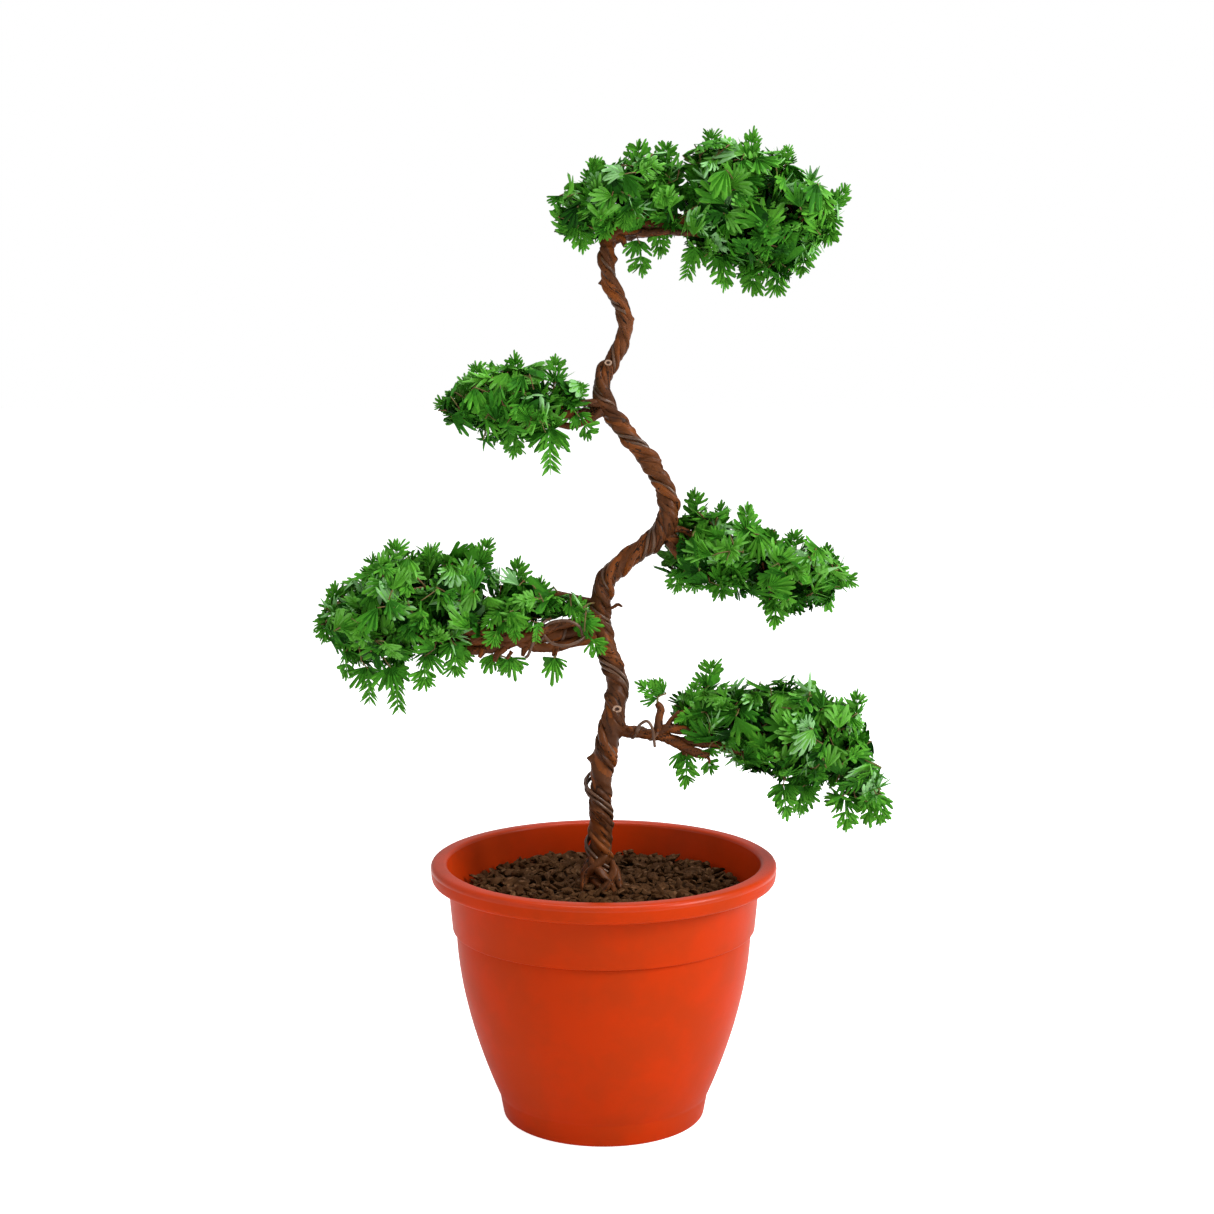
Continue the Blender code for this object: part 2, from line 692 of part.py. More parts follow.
def growing_points(limb, first):
    """(place, heading) along a limb, where one twig each can leave it."""
    found = []
    walked = -first
    for (here, _), (there, _) in zip(limb, limb[1:]):
        heading = (there - here).normalized()
        length = (there - here).length
        while walked < length:
            if walked > 0:
                found.append((here + heading * walked, heading))
            walked += ROOT_SPACING
        walked -= length
    return found


def best_root(place, roots):
    """The growing point whose twig to a place is short and leans forwards."""

    def cost(root):
        way = place - root[0]
        lean = way.normalized().dot(root[1])
        return way.length * (ROOT_COST - LEAN_SAVING * lean)

    return min(roots, key=cost)


def twig_to(root, place, draw):
    """A bowed twig from inside its bearer to a place."""
    start, along = root[0], root[1]
    length = (place - start).length
    if length < SHORT_TWIG:
        return [(start, TWIG_ROOT_RADIUS), (place, TWIG_TIP_RADIUS)]
    bow = start.lerp(place, 0.5) + along * (TWIG_BOW * length)
    bow.z += draw.uniform(*TWIG_RISE) * length
    bow_radius = (TWIG_ROOT_RADIUS + TWIG_TIP_RADIUS) / 2
    return [(start, TWIG_ROOT_RADIUS), (bow, bow_radius), (place, TWIG_TIP_RADIUS)]


def points_along(twig, count):
    """Places along a twig, without its root, which lies inside its bearer."""
    return [
        here[0].lerp(there[0], step / count)
        for here, there in zip(twig, twig[1:])
        for step in range(1, count + 1)
    ]


def try_spray(twig, outward, mass, limbs, draw, reaching, taken):
    """A sprayed twig that keeps to the mass's space and off the sprays already made, or None."""
    place = twig[-1][0]
    heading = (place - twig[-2][0]).normalized()
    for attempt in range(SPRAY_TRIES):
        wander = Vector(draw.uniform(-1, 1) for _ in range(3))
        pull = SPRIG_WEIGHT if reaching else OUTWARD_WEIGHT
        along = (heading * HEADING_WEIGHT + outward * pull + wander * WANDER_WEIGHT).normalized()
        face = Vector(draw.uniform(-1, 1) for _ in range(3)) + FACE_UP
        across = along.cross(face).normalized()
        if abs(across.dot(heading)) > EDGE_ON:
            continue
        size = SPRAY_SIZE * draw.uniform(*SPRAY_SIZE_RANGE) * (1 - SPRAY_SHRINK * attempt)
        middle = place + along * (SPRAY_CENTRE * size)
        if any((middle - other).length < SPRAY_SPACING for other in taken):
            continue
        shape = sprayed_twig(twig, along, across, size, draw)
        tips = shape[0][3 * len(twig) : -2]
        halfway = [point.lerp(place, 0.5) for point in tips]
        if not fits(tips + halfway, mass, limbs, TWIG_CLEARANCE):
            continue
        if reaching or all(in_lobes(point, mass) for point in tips):
            taken.append(middle)
            return shape
    return None


def stem_path(mass):
    """The stem, which goes on from its bearer's tip in line with it and 0.3 mm clear."""
    if mass.bearer is None:
        return smooth_path(mass.stem, STEM_STEPS)
    knots = TRUNK_KNOTS if mass.bearer == "trunk" else BOUGHS[mass.bearer]
    (before, _), (tip, radius) = smooth_path(knots, BOUGH_STEPS)[-2:]
    heading = (tip - before).normalized()
    foot = tip + heading * STEM_FOOT_LENGTH
    first = (*(foot / MM), radius * STEM_FOOT / MM)
    return [(tip + heading * GAP, radius * STEM_FOOT), *smooth_path((first, *mass.stem), STEM_STEPS)]


def grow(mass, limbs):
    """Meshes of one mass: a stem, then twigs to places in its lobes, each ending in a spray."""
    draw = random.Random(mass.seed)
    stem = stem_path(mass)
    shapes = [tube(stem, STEM_SIDES)]
    roots = growing_points(stem, 0.0)
    ends = spray_places(mass, draw)
    ends.sort(key=lambda end: min((end[0] - root[0]).length for root in roots))
    centre = sum((place for place, _ in ends), Vector()) / len(ends)
    filling = len(ends)
    taken = []
    for tip in mass.sprigs:
        way = (Vector(tip) * MM - centre).normalized()
        ends.append((Vector(tip) * MM - way * SPRAY_SIZE, way))
    for number, (place, outward) in enumerate(ends):
        root = best_root(place, roots)
        twig = twig_to(root, place, draw)
        if (place - root[0]).length < LEAST_TWIG or not fits(points_along(twig, TWIG_CHECKS), mass, limbs):
            continue
        shape = try_spray(twig, outward, mass, limbs, draw, number >= filling, taken)
        if shape is None:
            continue
        shapes.append(shape)
        roots.remove(root)
        roots += growing_points(twig, ROOT_SPACING / 2)
    return shapes


def make_mass(mass, limbs, material, cutter):
    """One solid from the mass's stem, twigs and sprays, joined by one union."""
    shapes = grow(mass, limbs)
    joined = make_object(mass.name, *shapes[0], material, smooth=False)
    if mass.bearer is None:
        cut_clear(joined, cutter)
    parts = bpy.data.collections.new(mass.name + "_parts")
    bpy.context.scene.collection.children.link(parts)
    for number, (points, faces) in enumerate(shapes[1:]):
        piece = make_object(f"{mass.name}_{number}", points, faces, material, smooth=False)
        bpy.context.scene.collection.objects.unlink(piece)
        parts.objects.link(piece)
    union = joined.modifiers.new("joined", "BOOLEAN")
    union.operation = "UNION"
    union.operand_type = "COLLECTION"
    union.collection = parts
    union.solver = "MANIFOLD"
    apply_modifiers(joined)
    for piece in list(parts.objects):
        remove_object(piece)
    bpy.data.collections.remove(parts)
    keep_largest_shell(joined)
    return joined


def main():
    clear_scene()
    terracotta = finish("terracotta_plastic", (0.62, 0.115, 0.03), 0.5)
    grit = finish("soil_grit", (0.06, 0.03, 0.018), 0.95)
    bark = finish("bark", (0.17, 0.06, 0.028), 0.8)
    copper = finish("training_wire", (0.2, 0.075, 0.035), 0.45, 0.6)
    needles = finish("needles", (0.055, 0.26, 0.035), 0.6)
    make_pot(terracotta)
    make_soil(grit)
    make_trunk(bark)
    cutter = make_trunk(bark, "trunk_clearance", GAP)
    cutter.hide_render = True
    cutter.display_type = "WIRE"
    for name in BOUGHS:
        make_bough(name, bark, cutter)
    make_trunk_wire("trunk_wire_lower_strand", copper, 0.0)
    make_trunk_wire("trunk_wire_upper_strand", copper, STRAND_SPACING)
    for name in BOUGH_WINDING:
        make_bough_wire(name, copper)
    limbs = limb_room()
    for mass in MASSES:
        make_mass(mass, limbs, needles, cutter)
    remove_object(cutter)


main()
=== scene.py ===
"""The looks of a wired juniper bonsai in a plain round plant pot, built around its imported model.

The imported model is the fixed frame. Bark, wire, twigs and needles, soil granules and a smooth pot take
the place of its plain solids, and each stays where its solid is. All sizes are in metres with +Z up, and
the origin is the centre of the pot's flat underside. Each mass of foliage grows by one seeded rule: a
stem goes on from its bough, twigs leave it at growing points, finer shoots leave the twigs, and each
shoot ends in a spray of needles that keeps to the outline of the mass.
"""

import math
import random
from collections import namedtuple

import bpy
import numpy as np
from bpy.props import FloatProperty, FloatVectorProperty, IntProperty, PointerProperty
from bpy.types import Operator, Panel, PropertyGroup
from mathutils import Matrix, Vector, noise
from mathutils.bvhtree import BVHTree


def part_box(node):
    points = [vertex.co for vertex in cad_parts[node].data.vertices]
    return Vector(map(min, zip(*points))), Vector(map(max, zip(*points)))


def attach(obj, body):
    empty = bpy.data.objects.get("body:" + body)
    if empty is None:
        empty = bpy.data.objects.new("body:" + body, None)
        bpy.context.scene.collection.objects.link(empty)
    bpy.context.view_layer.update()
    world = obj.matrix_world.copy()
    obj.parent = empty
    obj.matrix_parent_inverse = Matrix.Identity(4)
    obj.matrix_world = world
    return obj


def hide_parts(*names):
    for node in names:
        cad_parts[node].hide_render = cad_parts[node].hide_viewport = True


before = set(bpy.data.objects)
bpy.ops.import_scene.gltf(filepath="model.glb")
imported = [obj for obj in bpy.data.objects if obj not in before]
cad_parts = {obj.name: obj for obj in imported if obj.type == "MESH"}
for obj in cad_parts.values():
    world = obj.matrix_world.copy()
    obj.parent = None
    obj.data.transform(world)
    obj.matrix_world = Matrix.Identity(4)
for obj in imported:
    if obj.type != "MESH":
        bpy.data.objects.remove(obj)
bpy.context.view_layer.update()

bl_info = {
    "name": "Wired Juniper Bonsai",
    "version": (1, 0, 0),
    "blender": (4, 5, 0),
    "location": "View3D > Sidebar > Bonsai",
    "description": "Dresses the packed bonsai with bark, wire, needles, soil granules and a smooth pot",
    "category": "Object",
}

MM = 0.001
BODY = "root"
GOLDEN_ANGLE = math.pi * (3 - math.sqrt(5))

# Finishes. A surface is a finish without its colours: scale and amount of its patches, scale of its
# grain, roughness and its spread, bump and specular level. Scales are in features per metre, and a bump
# is in metres.
Finish = namedtuple(
    "Finish",
    "colour patch patch_scale patch_amount grain_scale roughness spread bump specular stretch",
    defaults=((1, 1, 1),),
)
PLASTIC_SURFACE = (30, 0.8, 1400, 0.38, 0.14, 0.00003, 0.035)
GRIT_SURFACE = (170, 0.75, 2600, 0.6, 0.25, 0.0003, 0.05)
BARK_SURFACE = (70, 0.75, 1300, 0.38, 0.2, 0.0001, 0.1)
WIRE_SURFACE = (130, 0.7, 1600, 0.32, 0.2, 0.0001, 0.45)
NEEDLE_SURFACE = (260, 0.6, 1200, 0.5, 0.2, 0.00005, 0.05)
FLOOR_SURFACE = (4, 0.5, 300, 0.8, 0.05, 0.0, 0.2)
SCAR_RIM = Finish((0.45, 0.3, 0.21), (0.3, 0.16, 0.1), 500, 0.7, 2500, 0.6, 0.2, 0.0001, 0.25)
SCAR_HEART = Finish((0.03, 0.014, 0.01), (0.1, 0.05, 0.03), 700, 0.5, 2500, 0.7, 0.2, 0.0001, 0.2)
SHOOT_BARK = Finish((0.17, 0.075, 0.03), (0.1, 0.16, 0.03), 90, 0.7, 1500, 0.65, 0.2, 0.00008, 0.35)
WIRE_PATCHES = (0.055, 0.025, 0.014)
BARK_PATCH_SCALES = {"outer_": 70, "inner_": 85, "furrow_": 200}

# Camera, as the photograph was taken
IMAGE_SIDE = 1214
FOCAL_PIXELS = 2033.1
SENSOR_WIDTH = 36.0
CAMERA_PLACE = (1.9 * MM, -1146.2 * MM, 447.9 * MM)
CAMERA_PITCH = 7.49  # degrees below level

FLOOR_HALF_SIDE = 12.0
LIGHT_TARGET = Vector((0, 0, 0.3))
# Lamps: place and side in metres
LAMPS = {
    "key": ((1.75, -0.8, 1.25), 0.9),
    "top": ((0.1, 0.1, 2.1), 1.3),
    "fill": ((-1.7, -0.8, 0.9), 1.3),
}

# Pot profile, in millimetres
RIM_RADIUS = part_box("pot")[1].x / MM
POT_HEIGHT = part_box("pot")[1].z / MM
RIM_INNER_RADIUS = 91
LIP_DEPTH = 10.4
BAND_TOP_RADIUS = 90
BAND_FOOT_RADIUS = 87.4
BAND_FOOT_HEIGHT = 110.8
BODY_TOP_RADIUS = 85.2
BODY_FOOT_RADIUS = 61.8
BODY_FOOT_HEIGHT = 15
BODY_SWELL = 1.75
FOOT_TOP_RADIUS = 60.8
FOOT_TOP_HEIGHT = 13
FOOT_RADIUS = 58.4
WALL = 3.2
FLOOR = 4.5

# Chips of bark, one unit long
CHIP_KINDS = 18
CHIP_BENDS = (60, 185)  # degrees
CHIP_LIFTS = (-0.25, 0.25)
CHIP_RADII = (0.25, 0.36)
CHIP_FLATNESS = (0.55, 0.9)
CHIP_RIDGES = (1.25, 0.95, 0.72, 0.95, 1.15, 0.95, 0.72, 0.95)  # round a chip, in shares of its radius
CHIP_UNEVENNESS = 0.42

# Soil, in shares of a granule's size but for the lengths in millimetres
GRAIN_SPACING = 0.84
ROW_SPACING = 0.866  # in shares of the spacing, like the scatter
GRAIN_SCATTER = 0.24
GRAIN_SIZES = (0.82, 1.2)
GRAIN_TILT = 0.5
GRAIN_LIFT = (-0.22, 0.12)
EDGE_ROOM = 0.36
UPPER_GRAINS = 0.2  # share of the granules that have another one on top
UPPER_LIFT = (0.16, 0.34)
TRUNK_ROOM = 8.0  # millimetres
FOOT_GRAINS = 9  # in the ring round the trunk
FOOT_GRAINS_RADIUS = 10.5  # millimetres
FOOT_LIFT = (0.2, 0.5)
BED_TOP = -2  # millimetres from the packed soil's top, like the underside
BED_UNDERSIDE = -5
BACK_LIFT = 0.026  # how much the surface rises towards the back and the right
RIGHT_LIFT = 0.012

# Trunk: x, y, z and radius in millimetres, from the soil to the tip
TRUNK_KNOTS = (
    (-2.8, 0, 134.3, 8.8), (-2.3, 0, 145, 7.5), (-2.0, -1, 156, 6.2), (-1.3, -2, 175, 5.9),
    (-1.2, -5, 203, 5.6), (4.5, -6, 231, 5.7), (7.6, -3, 252, 5.2), (2.0, 3, 272, 5.1),
    (-2.2, 6, 291.5, 4.9), (1.7, 5, 312, 4.7), (15.2, 1, 325.6, 4.8), (31.5, -4, 339.2, 4.9),
    (36.5, -5, 355, 4.5), (30.2, -1, 373, 4.1), (13.5, 4, 395, 4.0), (0, 6, 413, 4.0), (1, 5, 429, 3.6),
    (10.5, 1, 447, 3.3), (10.8, -3, 463, 3.2), (2.5, -4, 482, 3.3), (2.3, -1, 500, 3.8), (2.5, 2, 513, 3.2),
)
TRUNK_FOOT = 1.5  # how far the bark goes down between the granules
ROOT_LOBES = 5
ROOT_LOBE_DEPTH = 0.2
ROOT_LOBE_HEIGHT = 16
BOUGHS = {
    "lower_right_bough": ((6, -6, 228, 3.6), (14, -7, 226.5, 3.2), (28, -8, 225, 2.9), (43, -8, 221, 2.7)),
    "left_bough": ((-2, 5, 284, 4.8), (-12, 3, 283, 4.4), (-32, -2, 281, 4.2), (-62, -6, 279, 3.6)),
    "middle_right_bough": ((32, -4, 341, 3.8), (42, -3, 334, 3.3), (50, 0, 327, 3.0), (58, 4, 322, 2.7)),
    "upper_left_bough": ((1, 6, 411, 3.6), (-8, 6, 408, 3.0), (-18, 5, 406, 2.7), (-30, 3, 406, 2.4)),
    "apex_bough": ((2.4, 0, 503, 3.6), (12, 0, 506, 3.2), (28, 2, 508, 2.9), (46, 3, 513, 2.5)),
}

# Relief of the bark
STRANDS = 2  # that the trunk is twisted from, each of which laps over the next
STRAND_SWAY = 0.75  # how far a strand's edge wanders, in shares of its width
LAP = 0.06  # of a strand's width, over which it drops to the one below
ORANGE_FLANK = (0.45, 0.93)
STRAND_MIDDLE = 0.6  # the height of a strand that lies on the limb's radius
RELIEF_SHARES = (0.75, 0.14, 1.35, 0.55)  # of strands, creases, lumps and flakes
STRAP_RELIEF = 0.35  # this and the next in shares of the trunk's relief
ROOT_RELIEF = 0.6
BOUGH_RELIEF = 0.75
STEM_RELIEF = 0.5
SIDE_LIMB_RELIEF = 0.8  # of its bough's relief
# Swelling of the trunk where a bough leaves it, in millimetres from its middle line
COLLAR_REACH = 5.5
COLLAR_PUSH = 1.5
COLLAR_SPREAD = 4.6

# Training wire. Turns wound on the trunk: height in millimetres, and turns by then
TRUNK_WINDING = (
    (137, -0.33), (148, 0), (185, 1), (217, 2), (226, 2.25), (258, 3), (283, 3.75), (338, 6.25), (362, 7),
    (408, 8.75), (437, 10), (464, 11), (484, 12), (498, 12.5),
)
STRAND_SPACING = 3.5
FRONT = -0.25  # in turns from +X: turn 0 of the winding crosses the side that faces -Y
# Turns wound on a bough, and the share of its length where they start and end
BOUGH_WINDING = {
    "lower_right_bough": (2.5, 0.34, 0.93), "left_bough": (4.5, 0.22, 0.95),
    "middle_right_bough": (2.0, 0.42, 0.93), "upper_left_bough": (2.5, 0.36, 0.93),
}
GRIP_WIDTH = 0.075  # in turns, from the wire to where the bark stands out beside it
GRIP_DEPTH = 1.2
# Knobs on the trunk: place, push and spread, in millimetres
TRUNK_KNOBS = (
    ((-7.2, -4, 210.5), (-3.4, -0.8, 0.6), 2.0), ((6.5, -12, 249.5), (0.0, -1.1, 0.0), 2.4),
    ((11.5, -8, 246), (0.8, -0.8, 0.0), 2.0), ((5, -9, 213), (3.0, -0.8, -0.8), 2.2),
    ((8, -4, 272), (2.6, -0.6, 0.6), 2.4), ((9, -3, 264), (2.4, -0.6, 0.6), 2.2),
    ((31, 0, 381), (2.2, -0.5, 0.6), 2.2), ((26, 0, 388), (1.8, -0.5, 0.6), 2.0),
    ((-5, 2, 496), (-2.4, -0.4, 3.0), 1.6), ((20, -2, 402), (2.6, -0.8, 0.8), 2.0),
    ((9, -1, 414), (1.8, -0.6, 0.4), 2.2), ((6, 0, 398), (-2.4, -0.4, -0.8), 1.6),
    ((12, -1, 389), (-2.6, -0.4, -0.6), 1.5), ((7, -2, 492), (2.4, -0.6, 0.4), 2.2),
    ((-2, -2, 478), (-2.0, -0.6, 0.2), 2.0), ((15, -2, 459), (1.8, -0.4, 0.0), 2.2),
    ((6, 0, 302), (1.8, -0.6, 0.4), 2.0), ((-6, 2, 321), (-2.0, -0.4, 0.8), 2.2),
    ((12, -2, 335), (-1.4, -0.4, 2.0), 2.0), ((31, -6, 364), (-2.2, -0.4, 0.6), 1.8),
)
# Scars: place on the limb's middle line, the way each faces, and its size
PRUNING_SCARS = (((6.6, -4, 239.8), (0.12, -1, 0.08), 0.85), ((2.9, 3, 435.2), (-0.1, -1, 0.0), 0.68))
SCAR_STRETCH = (1.3, 1, 1)
SCAR_ROUGHNESS = 0.09
SCAR_LIFT = 0.45  # millimetres over the bark
# Radius and height of a scar's rim, its inner side and its heart, from below to the middle
SCAR_OUTLINE = (
    (0, -1.2), (2.5, -1.2), (2.45, -0.2), (2.25, 0.45), (1.85, 0.7), (1.45, 0.55), (1.2, 0.1), (0.6, -0.05),
    (0, 0.1),
)
# Loose turns of wire: height, how far each stands off, spread, and its side of the trunk
SLACK_LOOPS = ((160, 2.0, 7, -1), (196, 3.0, 10, -1), (258, 1.8, 6, 1))
WIRE_SUNK = 0.8  # how deep the wire has bitten into the bark
BOUGH_WIRE_SHARE = 0.85  # of the thickness of the trunk's wire
WIRE_WAVER = 0.35  # how far its turns lie unevenly, and the length over which they do
WAVER_LENGTH = 9
# Strands over the trunk's front: heights where they pass its left and right edge, radius, tone
STRAPS = (
    (494, 472, 2.1, 0), (480, 456, 1.7, 1), (463, 443, 1.2, 0), (450, 431, 1.5, 1), (431, 410, 2.5, 0),
    (418, 399, 1.7, 0), (405, 394, 1.1, 1), (394, 377, 2.1, 1), (384, 375, 1.1, 0), (378, 362, 1.9, 0),
    (370, 354, 2.0, 1), (359, 345, 1.9, 0), (347, 333, 1.6, 0), (336, 318, 1.8, 1), (326, 303, 2.0, 1),
    (313, 293, 2.1, 0), (297, 279, 1.7, 0), (279, 265, 1.4, 1), (275.5, 261.5, 1.3, 1), (263, 247, 1.5, 0),
    (247, 229, 1.7, 0), (230, 208, 2.3, 1), (222, 203, 1.5, 0), (186, 171, 1.6, 0), (168, 152, 1.9, 1),
)
# Knots of the strands that run out of the trunk's foot and down between the granules
ROOT_STRANDS = (
    (
        (3, -3, 158, 1.4), (0, -7, 153, 2.2), (-5, -9, 148, 2.3), (-9.5, -7, 143, 2.2),
        (-11.5, -9, 137, 1.7), (-12, -11, 132, 1.2),
    ),
    (
        (-7, -4, 155, 1.4), (-5.5, -8, 149, 2.3), (-1, -10, 144, 2.4), (3.5, -10, 139, 2.1),
        (6, -11, 132, 1.4),
    ),
    (
        (4, -4, 150, 1.6), (5.5, -7, 145, 2.3), (3, -10.5, 139, 2.2), (-1, -12.5, 135, 1.9),
        (-5, -13.5, 131, 1.3),
    ),
    ((3, 0, 150, 1.6), (6.2, -2, 144, 2.5), (8, -4, 138, 2.2), (10, -6, 132, 1.4)),
    ((-7, 0, 150, 1.6), (-10, -1, 144, 2.3), (-11, -3, 138, 2.1), (-14, -4, 132, 1.3)),
    ((-6, 5, 152, 1.8), (-9, 6, 145, 2.6), (-10.5, 8, 138, 2.2), (-12, 10, 132, 1.3)),
    ((2, 6, 152, 1.8), (4.5, 8, 144, 2.6), (6, 10, 137, 2.2), (8, 12, 132, 1.3)),
)
# Knots of the limbs and stubs that twist about a bough
SIDE_LIMBS = {
    "lower_right_bough": (
        (
            (26, -8, 226, 2.6), (36, -9, 223, 2.7), (45, -10, 219, 2.8), (52, -11, 215.5, 2.7),
            (60, -11, 213.5, 1.9),
        ),
        ((43, -9, 219, 2.0), (45.5, -10, 216, 1.4), (46, -10.5, 213.8, 0.7)),
        (
            (29, -8, 225, 2.4), (36, -9, 228.5, 2.8), (43, -9, 228, 2.6), (52, -9, 226, 2.2),
            (62, -8, 223, 1.5),
        ),
        ((46, -8, 221, 2.4), (58, -8, 220, 2.6), (68, -9, 218.5, 2.3), (80, -9, 214, 1.4)),
        ((14, -8, 228, 1.6), (15.5, -11, 228.5, 1.9), (16.2, -12.4, 228.2, 1.2)),
    ),
    "left_bough": (
        (
            (-2, 2, 291, 2.8), (-12, -2, 289, 2.8), (-23, -6, 288, 2.4), (-34, -8, 285, 2.8),
            (-46, -9, 280.5, 3.0), (-58, -8, 276, 2.8), (-72, -6, 273.5, 2.4), (-86, -5, 274.5, 1.8),
        ),
        (
            (-5, 1, 280, 3.5), (-18, -3, 277, 2.8), (-30, -5, 274.5, 2.6), (-42, -7, 276.5, 2.9),
            (-54, -9, 281.5, 3.0), (-68, -9, 284.5, 2.6), (-86, -7, 284, 2.0),
        ),
        (
            (-40, -2, 284, 2.8), (-52, -3, 286.5, 2.9), (-64, -5, 284, 2.6), (-76, -8, 279, 2.4),
            (-88, -8, 277, 1.8),
        ),
        ((-56, -9, 275, 2.2), (-60, -11, 271.5, 1.6), (-61.5, -11.5, 267.5, 0.7)),
        ((-68, -8, 274, 2.0), (-70, -10, 269.6, 0.8)), ((-44, -8, 276, 2.0), (-46, -10, 270.5, 0.8)),
        ((-27, -6, 275, 2.0), (-28.5, -9, 270.5, 0.8)),
        ((0, 3, 295, 1.4), (4.5, 1, 296.5, 1.1), (8, 0, 298.5, 0.9), (10.5, -1, 297.5, 0.5)),
    ),
    "middle_right_bough": (
        ((34, -4, 338, 2.8), (41, -7, 329, 2.2), (47, -6, 321, 2.0), (55, -3, 316, 1.6)),
        ((36, -4, 342, 2.2), (44, -5, 342, 1.8), (50, -4, 338, 1.5), (52, -2, 331, 1.2)),
    ),
    "upper_left_bough": (
        ((-1, 3, 408, 2.6), (-9, 1, 403, 2.0), (-18, 0, 400, 1.8), (-30, 0, 401, 1.4)),
        ((-2, 3, 412, 2.4), (-10, 1, 413, 1.8), (-20, 0, 412, 1.6), (-30, 0, 410, 1.4)),
    ),
    "apex_bough": (
        (
            (3, -2, 504, 2.8), (12, -6, 507, 2.4), (22, -9, 506, 2.2), (34, -10, 507, 2.1),
            (48, -9, 506, 1.6),
        ),
        (
            (3, -2, 507, 2.8), (14, -6, 510, 2.7), (28, -7, 510.5, 2.6), (42, -7, 508, 2.3),
            (54, -6, 505.5, 1.6),
        ),
        ((8, -4, 505, 2.2), (11, -8, 502, 1.7), (12, -9, 498.5, 0.8)),
        (
            (3, -2, 510, 2.6), (14, -5, 515.5, 2.8), (28, -6, 517, 2.6), (44, -7, 513.5, 2.2),
            (56, -6, 509, 1.6),
        ),
        ((2, -2, 508, 2.4), (7, -5, 514, 2.0), (10, -8, 520, 1.6)),
    ),
}
# Bough, and the places of a bent end of its wire
LOOSE_WIRES = (
    (
        "left_bough",
        (
            (-12, -6, 281), (-13.5, -9, 287), (-21, -11, 291), (-31, -10, 289), (-34, -9, 283.5),
            (-29, -10.5, 278), (-21, -11.5, 276.8), (-14, -9, 279), (-10, -5, 282),
        ),
    ),
    (
        "left_bough",
        (
            (-30, -4, 291), (-33.5, -9, 290), (-37.5, -12, 285), (-40, -12.5, 278), (-42.5, -11.5, 271.5),
            (-44, -8, 269.5),
        ),
    ),
    (
        "lower_right_bough",
        (
            (19, -7, 224), (18.5, -11.5, 227), (20.5, -12.5, 231.5), (24.5, -12.5, 233.6),
            (27.4, -12.5, 230), (28.4, -12.5, 224), (29.1, -12, 218.6),
        ),
    ),
)

